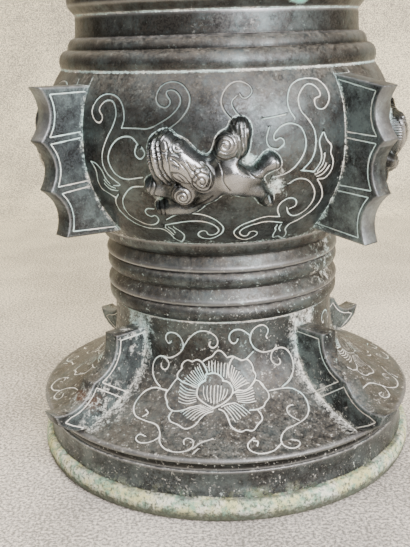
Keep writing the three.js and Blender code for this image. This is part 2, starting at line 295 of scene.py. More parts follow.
class VaseColours(bpy.types.PropertyGroup):
    bronze_brown: colour_setting("Brown bronze", "Warm brown of the patinated metal", "4f4c47")
    bronze_grey: colour_setting("Grey bronze", "Cool grey of the handled metal", "565c5d")
    bronze_dark: colour_setting("Dark bronze", "Near black of the old oxide", "22211f")
    # Rubbed metal that also serves as a painted highlight on edges and high places
    bronze_rubbed_and_highlit: colour_setting("Rubbed bronze", "Paler metal of rubbed edges and high places", "b2b1ae")
    # Painted shade for the hollows and the sides of the cuts, together with soot and old oxide
    shade_and_soot: colour_setting("Soot", "Black brown in hollows and beside the cuts", "181816")
    film: colour_setting("Green film", "Thin grey green film over the metal", "7a8785")
    verdigris_pale: colour_setting("Pale verdigris", "Powdery verdigris in the lines", "f2efe0")
    verdigris_blue: colour_setting("Blue verdigris", "Stronger verdigris in the seams", "d5efe6")
    turquoise: colour_setting("Turquoise", "Bright fresh verdigris on the neck ring", "6fc4ac")
    rust: colour_setting("Red oxide", "Red brown oxide on a foot flange", "7d5a45")
    dust: colour_setting("Dust", "Grey dust on faces that look up", "7a7162")
    rim_crust: colour_setting("Rim crust", "Yellow green crust on the foot's rim", "dfd998")
    rim_cream: colour_setting("Rim cream", "Palest chalky part of the rim's crust", "faf7e0")
    rim_green: colour_setting("Rim green", "Green patches of the rim's crust", "88b496")
    # Dirt that also serves as a painted contact shadow where the rim meets the floor
    rim_dirt_and_shadow: colour_setting("Rim dirt", "Grey dirt where the rim meets the floor", "4c5447")
    rim_pit: colour_setting("Rim pits", "Dark pits of the rim crust", "4a4a3a")


class VaseStage(bpy.types.PropertyGroup):
    floor_colour: colour_setting("Floor", "Colour of the plain floor", "fdf1df")
    floor_shade: colour_setting("Floor shade", "Colour between the floor's fibres", "868075")
    backdrop_colour: colour_setting("Backdrop", "Colour of the plain backdrop", "fdf0cb")
    sky_colour: colour_setting("Surroundings", "Colour of the even surrounding light", "e4e2de")
    sky_strength: bpy.props.FloatProperty(
        name="Surrounding light", description="Strength of the even surrounding light", default=0.32)
    key_power: power_setting("Key light", "Power of the window in front", 39.0)
    overhead_power: power_setting("Overhead light", "Power of the large light overhead", 16.0)
    side_power: power_setting("Side light", "Power of the window at the right", 2.5)
    backdrop_power: power_setting("Backdrop light", "Power of the light on the backdrop", 24.0)


# Camera, worked out from the turned rings of the vase in the photograph
camera_distance = 343.4
camera_height = 174.0
camera_turn = math.radians(2.4)
camera_pitch = math.radians(16.5)
camera_roll = math.radians(-1.74)
camera_yaw = math.radians(-1.26)
focal_length = 53.8
sensor_size = 36.0

# Each soft light: its size, its place and the spot it looks at, in metres, and its colour
window_light = (0.85, (0.62, -1.04, 0.66), (0, 0, 0.1), "f8f6ff")
overhead_light = (1.2, (-0.1, -0.5, 1.3), (0, -0.1, 0.1), "f3f6ff")
backdrop_light = (0.8, (-0.2, 0.3, 1.3), (-0.1, 0.75, 0.45), "fff6e4")
side_light = (0.7, (1.0, -0.2, 0.4), (0, 0, 0.08), "fff6ea")

# Floor in metres: front and back edge, radius of the bend up into the backdrop, its top and half width
floor_front = -1.2
floor_back = 0.42
floor_bend = 0.25
backdrop_top = 1.6
floor_half_width = 2.0


def smooth_line(points, closed=False, step=0.45, easing=0.6):
    """A smooth line through given points, sampled at an even step, with its bends eased over a length."""
    spots = np.array(points, float)
    if closed:
        spots = np.vstack([spots[-2:], spots, spots[:3]])
    gaps = np.hypot(*np.diff(spots, axis=0).T)
    times = np.concatenate([[0], np.cumsum(np.sqrt(gaps))])
    slopes = np.gradient(spots, times, axis=0)
    fine = []
    first, last = (2, len(spots) - 3) if closed else (0, len(spots) - 1)
    shares = np.linspace(0, 1, 12, endpoint=False)[:, None]
    for i in range(first, last):
        span = times[i + 1] - times[i]
        square, cube = shares ** 2, shares ** 3
        fine.append(
            spots[i] * (2 * cube - 3 * square + 1)
            + spots[i + 1] * (3 * square - 2 * cube)
            + slopes[i] * span * (cube - 2 * square + shares)
            + slopes[i + 1] * span * (cube - square))
    line = evenly(np.vstack([*fine, spots[last]]), step)
    for _ in range(int(2 * (easing / step) ** 2)):
        line[1:-1] = line[1:-1] / 2 + (line[:-2] + line[2:]) / 4
    return line


def evenly(line, step):
    """The same line with its points spread at an even step."""
    line = np.array(line, float)
    run = np.concatenate([[0], np.cumsum(np.hypot(*np.diff(line, axis=0).T))])
    count = max(2, int(round(run[-1] / step)) + 1)
    marks = np.linspace(0, run[-1], count)
    return np.stack([np.interp(marks, run, line[:, 0]), np.interp(marks, run, line[:, 1])], axis=1)


def spiral(centre, inner, outer, turns, start):
    """A spiral that opens from its inner to its outer radius, starting at an angle in degrees."""
    shares = np.linspace(0, 1, int(40 * turns))
    angles = math.radians(start) + shares * turns * 2 * math.pi
    radii = inner + (outer - inner) * shares
    return evenly(np.stack([radii * np.cos(angles), radii * np.sin(angles)], axis=1) + centre, 0.4)


def hatch(first, last, count):
    """Lines spread evenly from a first to a last line with as many points."""
    first, last = np.array(first, float), np.array(last, float)
    return [smooth_line(first + (last - first) * i / (count - 1)) for i in range(count)]


def mirrored(lines):
    """The lines, and the same lines mirrored about the panel's middle."""
    return [*lines, *[[(-x, y) for x, y in line] for line in lines]]


def inside(points, outline):
    """Which points lie inside a closed outline."""
    x, y = points[:, 0], points[:, 1]
    within = np.zeros(len(points), bool)
    for a, b in zip(outline, np.roll(outline, -1, axis=0)):
        crosses = (a[1] > y) != (b[1] > y)
        if crosses.any():
            within ^= crosses & (x < (b[0] - a[0]) * (y - a[1]) / (b[1] - a[1] + 1e-12) + a[0])
    return within


def tree_of(points):
    """A search tree over flat or solid points."""
    tree = KDTree(len(points))
    for i, spot in enumerate(points):
        tree.insert((spot[0], spot[1], spot[2] if len(spot) > 2 else 0.0), i)
    tree.balance()
    return tree


def nearest(tree, points):
    """Distance from each point to the nearest one in a tree, and that one's number."""
    found = [tree.find((p[0], p[1], p[2] if len(p) > 2 else 0.0)) for p in points]
    return np.array([f[2] for f in found]), np.array([f[1] for f in found])


def distances(tree, points):
    """Distance from each point to the nearest one in a tree."""
    return nearest(tree, points)[0]


def thinned(points, kept, gap):
    """The points that keep a gap from the kept ones and from each other."""
    if len(kept):
        points = points[distances(tree_of(kept), points) > gap]
    cell_size = gap * 0.7
    around = [(a, b) for a in (-1, 0, 1) for b in (-1, 0, 1)]
    cells, chosen = set(), []
    for i, (x, y) in enumerate(points):
        cell = (round(x / cell_size), round(y / cell_size))
        if not any((cell[0] + a, cell[1] + b) in cells for a, b in around):
            cells.add(cell)
            chosen.append(i)
    return points[chosen]


def same_width(up):
    return np.ones_like(up)


def flat_lift(points):
    return points


def beside(line, offset, stretch):
    """The line moved sideways by a real offset, on a surface that is stretched along."""
    width = stretch(line[:, 1])
    along = np.gradient(line, axis=0)
    along[:, 0] *= width
    along /= np.linalg.norm(along, axis=1, keepdims=True) + 1e-12
    return line + np.stack([-along[:, 1] / width, along[:, 0]], axis=1) * offset


def nearest_line(lines, flat, lift):
    """Each point's distance to the nearest line, in half widths of that line, and that half width."""
    if not lines:
        return np.full(len(flat), 1e3), np.ones(len(flat))
    samples = [lift(evenly(line, 0.1)) for line, _ in lines]
    widths = np.concatenate([np.full(len(s), half_width) for s, (_, half_width) in zip(samples, lines)])
    away, number = nearest(tree_of(np.vstack(samples)), lift(flat))
    return away / widths[number], widths[number]


def carved_field(outline, cuts, spacing, stretch=same_width, lift=flat_lift, stains=(), extra=()):
    """Fills an outline with triangles whose points crowd along its cuts and stains.

    Each cut or stain is a line with its half width. Gives the flat points, the triangles, how far
    out of the nearest cut each point lies, that cut's half width, and the same distance for stains."""
    crowding, border_gap, least_gap, row_share = 0.55, 0.2, 0.42, 0.87
    border = np.array(outline, float)
    kept = border
    marked = [*cuts, *stains]
    for share in (0, -1, 1, -mark_reach, mark_reach):
        for half_width in sorted({width for _, width in marked}):
            lines = [line for line, width in marked if width == half_width]
            points = np.vstack([beside(line, share * half_width, stretch) for line in lines])
            kept = np.vstack([kept, thinned(points, kept, half_width * crowding)])
    for points in extra:
        kept = np.vstack([kept, thinned(np.array(points), kept, border_gap)])
    low, high = border.min(0), border.max(0)
    rows = np.arange(low[1], high[1], spacing * row_share)
    grid = np.array([
        (x + (i % 2) * spacing / 2, y)
        for i, y in enumerate(rows) for x in np.arange(low[0], high[0], spacing)])
    kept = np.vstack([kept, thinned(grid, kept, spacing * least_gap)])
    inner = kept[len(border):]
    flat = np.vstack([border, inner[inside(inner, border)]])
    made = delaunay_2d_cdt([Vector(p) for p in flat], [], [list(range(len(border)))], 1, 1e-6)
    flat = np.array([tuple(p) for p in made[0]])
    triangles = [tuple(f) for f in made[2]]
    cut_share, cut_width = nearest_line(cuts, flat, lift)
    return flat, triangles, cut_share, cut_width, nearest_line(stains, flat, lift)[0]


def cut_depth(share, half_width):
    """Depth of a cut line at each point, deepest in its middle."""
    return (1 - np.clip(share, 0, 1) ** 2) * half_width * depth_per_half_width


def line_mark(share):
    """1 in the middle of a line, fading to 0 beside it."""
    return np.clip(1 - share / mark_reach, 0, 1)


def damp_spots(flat, spots):
    """Soft round spots, each given as right, up, radius and strength."""
    marks = np.zeros(len(flat))
    for right, up, radius, strength in spots:
        away = np.hypot(flat[:, 0] - right, flat[:, 1] - up)
        marks = np.maximum(marks, strength * np.exp(-(away / radius) ** 2))
    return marks


class Sheet:
    """A turned surface unrolled: along is measured round it at a reference radius, up along its profile."""

    def __init__(self, profile, reference, zero_level):
        self.reference = reference
        self.spots = np.array(profile, float)
        steps = np.hypot(*np.diff(self.spots, axis=0).T)
        run = np.concatenate([[0], np.cumsum(steps)])
        self.up = run - np.interp(zero_level, self.spots[:, 1], run)
        tangent = np.gradient(self.spots, self.up, axis=0)
        self.normal = np.stack([tangent[:, 1], -tangent[:, 0]], axis=1)
        self.half = reference * math.pi / quarters

    def radius(self, up):
        return np.interp(up, self.up, self.spots[:, 0])

    def stretch(self, up):
        return self.radius(up) / self.reference

    def place(self, flat, proud=0.0):
        """Points in space for flat points, standing proud of the surface."""
        up = flat[:, 1]
        radius = self.radius(up) + proud * np.interp(up, self.up, self.normal[:, 0])
        level = np.interp(up, self.up, self.spots[:, 1]) + proud * np.interp(up, self.up, self.normal[:, 1])
        turn = flat[:, 0] / self.reference
        return np.stack([radius * np.sin(turn), -radius * np.cos(turn), level], axis=1)

    def flange_gap(self, flat):
        """How far each flat point lies from the side of the nearest flange."""
        side = (self.half - np.abs(flat[:, 0])) * self.stretch(flat[:, 1])
        return np.maximum(side - flange_thickness / 2, 0)

    def border(self, steps, spacing):
        """The outline of one quarter, with even steps along its lower and upper edges."""
        across = np.linspace(-self.half, self.half, steps + 1)
        rows = max(2, int((self.up[-1] - self.up[0]) / spacing))
        rise = np.linspace(self.up[0], self.up[-1], rows + 1)
        return [
            *[(x, self.up[0]) for x in across],
            *[(self.half, y) for y in rise[1:-1]],
            *[(x, self.up[-1]) for x in across[::-1]],
            *[(-self.half, y) for y in rise[-2:0:-1]],
        ]


def turn_about_axis(points, turn):
    """Points turned about the vase's axis."""
    c, s = math.cos(turn), math.sin(turn)
    x, y, z = np.array(points).T
    return np.stack([x * c - y * s, x * s + y * c, z], axis=1)


def open_turned(outline, steps):
    """A surface turned from an open outline."""
    spots = np.array(outline, float)
    turns = np.arange(steps) * 2 * math.pi / steps
    points = np.stack([
        np.outer(np.sin(turns), spots[:, 0]),
        -np.outer(np.cos(turns), spots[:, 0]),
        np.tile(spots[:, 1], (steps, 1))], axis=-1).reshape(-1, 3)
    count = len(spots)
    faces = []
    for i in range(steps):
        here, there = i * count, (i + 1) % steps * count
        faces += [(here + j, there + j, there + j + 1, here + j + 1) for j in range(count - 1)]
    return points, faces


def bent(start, bend, end, share):
    """A point on the curve that leaves its start towards a bend and comes to its end from there."""
    return tuple(start * (1 - share) ** 2 + bend * 2 * share * (1 - share) + end * share ** 2)


def soften(outline, radius, seams=(), steps=4):
    """Rounds the sharp corners of a closed outline, those at its seams only a little."""
    least_turn = math.radians(22)
    seam_round = 0.25
    softened = []
    for i, spot in enumerate(outline):
        corner = Vector(spot)
        back = Vector(outline[i - 1]) - corner
        ahead = Vector(outline[(i + 1) % len(outline)]) - corner
        if math.pi - back.angle(ahead) < least_turn:
            softened.append(tuple(corner))
            continue
        at_seam = any(math.dist(spot, seam[:2]) < 1 for seam in seams)
        reach = min(seam_round if at_seam else radius, back.length * 0.45, ahead.length * 0.45)
        start = corner + back.normalized() * reach
        end = corner + ahead.normalized() * reach
        softened += [bent(start, corner, end, k / steps) for k in range(steps + 1)]
    return softened


def divided(outline, corners, closed=True):
    """The outline with its long stretches divided, finely near its marked corners."""
    coarse, fine, reach = 3.0, 0.45, 1.6
    marked = np.array([corner[:2] for corner in corners]).reshape(-1, 2)
    spots = []
    ends = [*outline[1:], outline[0]] if closed else outline[1:]
    for a, b in zip(outline, ends):
        spots.append(tuple(a))
        for spot in evenly([a, b], fine)[1:-1]:
            near = len(marked) and np.hypot(*(marked - spot).T).min() < reach
            if near or math.dist(spots[-1], spot) > coarse:
                spots.append(tuple(spot))
    return spots if closed else [*spots, tuple(outline[-1])]


def sharp_corners(outline, hollow):
    """The inward or outward corners of a closed outline, each with a strength from 0 to 1."""
    area = sum(a[0] * b[1] - b[0] * a[1] for a, b in zip(outline, [*outline[1:], outline[0]]))
    side = math.copysign(1, area) * (-1 if hollow else 1)
    corners = []
    for i, spot in enumerate(outline):
        before = Vector(spot) - Vector(outline[i - 1])
        after = Vector(outline[(i + 1) % len(outline)]) - Vector(spot)
        turn = math.atan2(before.x * after.y - before.y * after.x, before.dot(after)) * side
        if turn > math.radians(18):
            corners.append((*spot, min(1.0, turn / math.radians(70))))
    return corners


def corner_marks(spots, corners, reach):
    """How near each spot lies to a marked corner, from 0 to 1."""
    marks = np.zeros(len(spots))
    spots = np.array(spots)
    for radius, level, strength in corners:
        away = np.hypot(spots[:, 0] - radius, spots[:, 1] - level)
        marks = np.maximum(marks, strength * np.exp(-(away / reach) ** 2))
    return marks


def turned_marks(spots, outline, seams, shade_and_soot, steps):
    """Marks of a turned section: painted shade in its hollows, rubbed edges that carry painted highlights,
    and pale seams of verdigris with a painted edge highlight.
    """
    return {
        "shade_and_soot_mark": np.tile(corner_marks(spots, [*sharp_corners(outline, True), *shade_and_soot], 0.9), steps),
        "worn_and_highlit": np.tile(corner_marks(spots, sharp_corners(outline, False), 0.7), steps),
        "crevice": np.tile(corner_marks(spots, seams, 0.6), steps),
    }


def bead(radius, low, high, proud, steps):
    """A rounded bead between two levels, both ends included."""
    turns = [math.pi * i / steps for i in range(steps + 1)]
    middle, half = (low + high) / 2, (high - low) / 2
    return [(radius + proud * math.sin(t), middle - half * math.cos(t)) for t in turns]


def quarter_round(low_radius, high_radius, low, high, steps=8):
    """Leaves one radius level and reaches the other upright, both ends included."""
    turns = [math.pi / 2 * i / steps for i in range(steps + 1)]
    across, rise = high_radius - low_radius, high - low
    return [(low_radius + across * math.sin(t), high - rise * math.cos(t)) for t in turns]


def curve(radius_at, low, high, steps):
    """A curve given as a radius for each share of a height, both ends included."""
    shares = [i / steps for i in range(steps + 1)]
    return [(radius_at(share), low + (high - low) * share) for share in shares]


def cone_radius(share):
    return stem_radius + (band_radius - stem_radius) * (1 - share) ** cone_sweep


def bulb_radius_at(level):
    """Outer radius of the bulb at a level above its bottom."""
    if level < bulb_rise:
        share = (bulb_rise - level) / bulb_rise
        return bulb_radius - (bulb_radius - bulb_bottom_radius) * share ** bulb_swell_power
    share = (level - bulb_rise) / bulb_fall
    return bulb_radius - (bulb_radius - bulb_top_radius) * share ** bulb_shoulder_power


def bulb_profile(steps):
    height = bulb_rise + bulb_fall
    return curve(lambda share: bulb_radius_at(share * height), bulb_level, bulb_top, steps)


def trumpet_radius(share):
    return trumpet_bottom_radius + (mouth_radius - trumpet_bottom_radius) * share ** trumpet_flare_power


bulb_sheet = Sheet(bulb_profile(240), bulb_radius, widest_level)
cone_reference = 60.0
cone_sheet = Sheet(curve(cone_radius, cone_level, bell_top, 400), cone_reference, cone_level)
trumpet_profile = curve(trumpet_radius, trumpet_level, trumpet_level + trumpet_height, 300)
trumpet_sheet = Sheet(trumpet_profile, trumpet_bottom_radius, trumpet_level)

# Cloud scrolls of the bulb's panel: millimetres to the viewer's right, and up the wall from the widest level
bulb_scrolls = [
    [(-38.5, -12.5), (-35, -12), (-37, -10.5), (-40, -8), (-41.5, -4), (-40.5, 1), (-38, 5.5), (-35.5, 9.5),
     (-34.5, 13.5), (-36.5, 17.5), (-40, 17.5), (-42.5, 14.5), (-40.5, 12), (-41.5, 10), (-44, 10.5),
     (-46, 13.5), (-45, 17), (-42, 19.5), (-38, 20), (-34, 18.5), (-31.5, 15), (-31, 11), (-32, 8.5)],
    [(-32, 8.5), (-26, 8.5), (-21.5, 8.5), (-17, 10.5), (-12.5, 13.5), (-10, 17), (-10.5, 19.5), (-13, 21.5),
     (-15.5, 21), (-15, 19.5), (-13.5, 17.5), (-15, 15.5), (-18, 16.5), (-19, 19), (-17.5, 23), (-14, 24.5),
     (-10, 23.5), (-7, 19.5), (-7, 16), (-10, 11.5), (-14, 8.5)],
    [(7.5, 11), (5, 14), (4, 17), (5, 20.5), (8, 23.5), (11, 24), (14, 22.5), (15, 20.5), (13.5, 18.5),
     (11.5, 18), (10.5, 19.5)],
    [(11, 11.5), (8.5, 14), (7.5, 17), (9.5, 19)],
    [(18.5, 11), (22.5, 11.5), (26, 12)],
    [(29.5, 10.5), (27.5, 14), (27.5, 17.5), (29.5, 21.5), (33, 23.5), (38, 24), (42, 23), (44.5, 19.5),
     (44.5, 16), (41.5, 13), (38.5, 13.5), (38, 16.5), (41, 17.5), (40, 20.5), (37, 22), (34, 20.5),
     (31.5, 17), (32, 13), (34.5, 10), (37, 6), (37.5, 1), (36, -4), (33, -7)],
    [(23, 0.5), (20, 1.5), (19, 4), (20, 8)],
    [(23, 0.5), (25.5, 2.5), (24, 4.5), (22, 3.5), (21.5, 5), (24, 8), (27.5, 9), (31.5, 7.5), (33.5, 3),
     (33, -1), (30, -5.5), (26.5, -8), (22.5, -9)],
    [(40.5, 5), (39, 2), (40, -2), (40, -5), (37.5, -8.5)],
    [(41, 5), (42.5, 2), (44.5, 0), (44, -2), (45.5, -5), (45.5, -8.5), (43, -11.5), (40, -11.5)],
    [(41.5, -3), (41, -6), (39, -8.5)],
    [(42.5, -6), (41.5, -8), (38.5, -9.5)],
    [(44, -7), (42, -9.5), (39.5, -10.5)],
    [(32.5, -7.5), (35, -8), (37.5, -8.5)],
    [(39.5, -11.5), (43, -16), (44.5, -20), (42.5, -25), (38, -29), (34, -31), (33, -32)],
    [(28, -12), (31, -10.5), (35.5, -11.5), (39.5, -16), (40.5, -20), (38.5, -25), (34, -27), (31, -25.5),
     (29.5, -23)],
    [(30.5, -23), (33, -22), (32.5, -19.5), (29.5, -18), (26, -20), (25.5, -23), (27, -26)],
    [(33, -32), (32.5, -34), (34.5, -37), (34.5, -39.5)],
    [(27.5, -31.5), (27, -33), (28, -34), (27.5, -37), (28.5, -39), (30.5, -38), (32.5, -39.5),
     (34.5, -39.5)],
    [(29.5, -31), (29, -33), (30.5, -35)],
    [(-24, 2), (-23, 0), (-25, -2), (-27, 0), (-26, 3)],
    [(-25.5, 3), (-28, 5.5), (-33, 5), (-37, 1.5), (-38.5, -3), (-36, -8), (-32, -9.5), (-28, -9),
     (-25, -8.5)],
    [(-47.5, -4), (-45, -4.5), (-42.5, -7), (-41.5, -10), (-40, -12)],
    [(-47.5, -4), (-45.5, -7), (-46, -11), (-45.5, -14), (-42.5, -16), (-39.5, -17.5)],
    [(-42.5, -10.5), (-41, -12.5), (-38, -13.5)],
    [(-43, -12), (-41, -14), (-37.5, -14.5)],
    [(-37.5, -16), (-40, -18.5), (-41, -22), (-39, -27), (-35, -30.5), (-29.5, -32), (-23, -32),
     (-20.5, -34.5), (-19.5, -37.5), (-17, -39.5)],
    [(-25.5, -12), (-30, -12.5), (-34, -15.5), (-37, -19.5), (-37, -25), (-33, -28.5), (-29, -30),
     (-25, -29), (-23, -26.5), (-24, -24.5), (-26, -25.5), (-28, -23.5), (-26.5, -21.5), (-23.5, -21.5)],
    [(-21.5, -31), (-20, -33), (-19, -35)],
    [(-20, -30.5), (-18, -32.5), (-18, -34)],
    [(-17.5, -30.5), (-14, -34.5), (-14.5, -37), (-16.5, -39.5)],
    [(-19.5, -26.5), (-15, -24), (-9, -23), (-3, -24), (1.5, -27), (4, -31), (2.5, -34.5), (-2, -37),
     (-6, -36.5), (-7.5, -34.5), (-6, -32.5), (-3.5, -32.5), (-3, -34.5), (0, -34.5), (2, -32), (0, -29),
     (-4.5, -27), (-10, -27), (-15.5, -28), (-21, -29.5)],
    [(27, -26.5), (21, -26), (16, -27.5), (11, -30), (8.5, -33.5), (10, -36.5), (14, -38.5), (18, -37),
     (19.5, -35), (17.5, -33.5), (15.5, -34), (15, -36), (13, -36), (11, -34), (12.5, -31.5), (17, -29.5),
     (22, -28.5), (29.5, -30)],
]

# Vines of the foot's panel: millimetres to the viewer's right at 60 mm radius, and up the cone from its foot
foot_vines = [
    [(-31, 42.5), (-33.2, 41.6), (-34.9, 39.5), (-34.9, 37.1), (-33.7, 34.7), (-31.3, 32.4), (-28, 30.6)],
    [(-25.2, 49), (-26.5, 48.1), (-27.9, 49.3), (-28.3, 50.8), (-26.8, 52.5), (-24.2, 53), (-21.8, 52.7),
     (-19.8, 51.3), (-18.2, 48.5), (-18.5, 47), (-21, 44.5), (-25.5, 42.5), (-28.5, 42.4), (-31, 42.5)],
    [(-18, 48), (-15, 51.5), (-10, 54.5), (-5, 54.5), (-1, 52), (-0.6, 49.6), (-2, 48.2), (-3.5, 47.9),
     (-4.9, 48.8), (-4.9, 49.7), (-4.3, 50.3)],
    [(-29.7, 42.6), (-27, 41.4), (-25.8, 40), (-26.4, 38.2), (-27.9, 37.3), (-29.4, 37.8), (-30.1, 38.4),
     (-30.3, 39.4)],
    [(9.2, 50.5), (8, 49.5), (6.1, 50.1), (5.1, 52.2), (6.4, 54.4), (9.4, 55.3), (12.3, 54.6), (15.4, 52.6)],
    [(24.8, 50.4), (24, 51.3), (25.3, 52.5), (25.3, 54.2), (22.4, 56.1), (19.1, 55.6), (16.5, 53.6),
     (15.8, 50.2), (17.4, 47.4)],
    [(18.5, 46.5), (22, 45), (27.5, 45), (31.5, 45.5), (35, 44.5), (38, 41), (38, 37), (34.5, 32.5),
     (30, 30.5)],
    [(29.7, 46.2), (27.2, 44.5), (26.2, 42), (27.2, 39.9), (29.9, 38.8), (31.4, 39.9), (30.9, 40.8)],
    [(13.5, 43), (17, 45.5)],
    [(-23.5, 29.5), (-31, 29.5), (-35, 26), (-35.5, 20.5), (-32, 16), (-27.5, 15), (-22, 14), (-19.5, 10.5),
     (-18.5, 7), (-15.5, 3.5), (-11, 3), (-8, 5), (-8, 9), (-10, 10), (-11, 8.5), (-10.5, 7)],
    [(-29, 19.5), (-27.5, 18.5), (-29, 16.5)],
    [(-19, 9), (-21, 6), (-24, 4.5), (-26.5, 6), (-26, 8.5), (-24, 8)],
    [(-7.5, 5), (-5.5, 8), (-2, 10)],
    [(-7, 3), (-6, 5)],
    [(22, 29.5), (28, 29.5), (33, 28.5), (36.5, 24.5), (35.5, 19), (32, 15), (27, 13), (22.5, 11.5),
     (20, 8.5), (19.5, 5), (21.5, 2.5), (24, 3), (25, 5), (23, 6.5)],
    [(29.8, 21.8), (28.3, 21.8), (26.8, 21), (26.2, 18.8), (27.5, 16.2), (28.9, 14.4)],
    [(28.5, 30), (33, 32), (37, 35)],
    [(19, 5.5), (16.5, 3), (12.5, 2), (9.5, 4), (9, 7), (11, 9.5)],
    [(11, 8.5), (12.5, 8), (12, 6.5)],
]

# Peony of the foot's panel: the edges of its petals
peony_petals = [
    [(-5.5, 37.5), (-6.5, 39.5), (-8.5, 42), (-11, 43), (-13.5, 42)],
    [(-13.5, 42), (-16, 42.5), (-18.5, 41), (-19, 39.5), (-18.5, 39)],
    [(-18.5, 39), (-20.5, 37), (-20.5, 35.4), (-19.3, 34.6), (-17.1, 33.7), (-13.8, 33), (-10.6, 32.1)],
    [(-8, 42.5), (-5, 44), (-3.5, 44.5), (-1.5, 46.5), (0, 47), (2, 46), (3.5, 44.5)],
    [(4, 44), (6.5, 44.5), (9, 43.5), (11.5, 42.5), (13.5, 43), (15.5, 41.5), (16.5, 39.5), (16.5, 38)],
    [(16.5, 38), (17.5, 36.5), (16.5, 34.5), (14.5, 32.5)],
    [(-5.5, 37.5), (-3.5, 38), (-0.5, 37.5), (1.5, 36)],
    [(-5.9, 38), (-6.7, 36.9), (-6.4, 35.6), (-8.1, 34.6), (-9.7, 33.1)],
    [(7.4, 44.3), (6.3, 43.4), (4.9, 41.2), (4.3, 38.6), (4.7, 36.2)],
    [(1.5, 36), (1.8, 35), (3, 35), (5, 34)],
    [(16.5, 34.5), (18.5, 34), (20, 32)],
    [(-20.4, 34.9), (-22, 32.7), (-22.8, 30.8), (-24, 28.5), (-23.5, 26.5), (-22, 25), (-21.5, 23.5),
     (-18.5, 21.5), (-15, 22), (-11, 24), (-7.5, 25)],
    [(-18.5, 21.5), (-19, 18.5), (-17.5, 16.5), (-15.5, 16), (-13.5, 15), (-11.5, 14), (-8.5, 16),
     (-7, 19), (-5, 21.5), (-2.5, 22.5)],
    [(-6.5, 35), (-9, 33.5), (-10, 31), (-9.5, 28.5), (-7, 26.5), (-2.5, 24)],
    [(1.5, 35), (4, 34.5), (6, 32), (5.5, 29.5), (2.5, 26.5), (-2, 24)],
    [(6, 30), (8, 31), (12, 31), (16.5, 34)],
    [(18.5, 34), (20, 31.5), (21.5, 29), (21, 26.5), (19, 25), (18, 23.5), (15, 22.5), (12, 22.5)],
    [(15, 22.5), (16, 20), (16, 18), (14, 16), (13.5, 15.5)],
    [(13.5, 15.5), (12.5, 14), (11, 13), (9.5, 14), (7.5, 13), (4.5, 15.5), (3.5, 19), (2, 22.5), (0, 23.5)],
    [(1, 24.5), (3, 25.5), (6, 26)],
]

# Veins of the petals: first line, last line and how many
peony_veins = [
    ([(-9.8, 40.7), (-8.4, 38.5), (-6.9, 36.2)], [(-16.2, 35.3), (-13.5, 33.9), (-10.4, 32.7)], 8),
    ([(-18.3, 33), (-15.2, 31.3), (-12.9, 30.9), (-10.6, 30.7)],
     [(-17.2, 25.8), (-14.7, 25.2), (-12.5, 25.3), (-9.8, 26.5)], 6),
    ([(-5.1, 42.3), (-5.1, 40.5), (-4.7, 38.9)], [(4.1, 41.3), (3.8, 38.9), (3.4, 36.2)], 7),
    ([(6.3, 40.7), (5.6, 37.7), (5.3, 35.6)], [(13.1, 33.7), (9.8, 32.7), (7.1, 31.6)], 8),
    ([(-7.1, 32.4), (-7.1, 30.1), (-5.9, 27.7)], [(-2.2, 32.8), (-2.3, 29.6), (-2.2, 26.1)], 4),
    ([(-0.7, 32.4), (-0.8, 29.7), (-0.9, 26.4)], [(3.7, 31.3), (3.1, 29.5), (1.6, 27.6)], 4),
    ([(15.1, 31.7), (11.3, 30.4), (7, 30.1)], [(14.8, 26), (11.5, 25.7), (7.8, 26.6)], 6),
    ([(-14.8, 21.2), (-12.4, 23.5), (-7.3, 25)], [(-9.3, 18.3), (-7.1, 21.1), (-2.5, 23.6)], 6),
    ([(5.7, 18.4), (4.2, 21.5), (2.2, 24.1)], [(11.6, 21.5), (9.5, 23.9), (6.8, 25.9)], 6),
]
# The drawn foot pattern lies this much lower on the cone, and its lines are this much wider
foot_pattern_drop = 1.3
foot_line_share = 1.15

# Trumpet's panel: a tall plantain leaf with paired scrolls, millimetres up from the neck ring
trumpet_leaf = [
    [(21, 3), (24, 20), (21, 50), (13, 90), (5, 120), (0, 134)],
    [(16.5, 3), (19.5, 20), (16.5, 48), (10, 84), (3.5, 108), (0, 117)],
    [(0, 10), (4, 6.5), (10, 8), (13, 13.5), (12, 20), (7.5, 23), (4, 20.5), (4.5, 16.5), (7.5, 16)],
    [(0, 34), (3, 29.5), (8, 29.5), (11, 34.5), (9.5, 41), (5.5, 42.5), (3.5, 39.5), (5.5, 37)],
    [(0, 56), (2.5, 51), (6.5, 51.5), (8, 56.5), (5.5, 61), (3, 59.5), (4, 57)],
    [(0, 75), (2.5, 71), (5.5, 73), (4.5, 78), (2, 79)],
]
leaf_rib = [(0, 84), (0, 108)]


def clean_mesh(mesh):
    """Welds the joints between a mesh's parts and turns its faces outward."""
    weld = 5e-6
    work = bmesh.new()
    work.from_mesh(mesh)
    bmesh.ops.remove_doubles(work, verts=work.verts, dist=weld)
    bmesh.ops.dissolve_degenerate(work, edges=work.edges, dist=weld / 10)
    bmesh.ops.recalc_face_normals(work, faces=work.faces)
    work.to_mesh(mesh)
    work.free()


def add_piece(name, parts, slot, node, turn=0.0):
    """A finished piece from parts of points in millimetres, faces and marks. It stands for one solid."""
    points, faces, marks = [], [], {key: [] for key in mark_names}
    for part_points, part_faces, part_marks in parts:
        start = sum(len(p) for p in points)
        points.append(part_points)
        faces += [tuple(start + i for i in face) for face in part_faces]
        for key, values in marks.items():
            own = np.asarray(part_marks.get(key, 0.0), np.float32)
            values.append(np.broadcast_to(own, len(part_points)))
    placed = turn_about_axis(np.vstack(points), turn) * mm
    mesh = bpy.data.meshes.new(name)
    mesh.from_pydata(placed.tolist(), [], faces)
    for key, values in marks.items():
        layer = mesh.attributes.new(key, "FLOAT", "POINT")
        layer.data.foreach_set("value", np.concatenate(values))
    clean_mesh(mesh)
    mesh.shade_smooth()
    mesh.materials.append(slot_material(slot))
    piece = bpy.data.objects.new(name, mesh)
    bpy.context.scene.collection.objects.link(piece)
    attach(piece, "root")
    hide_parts(node)


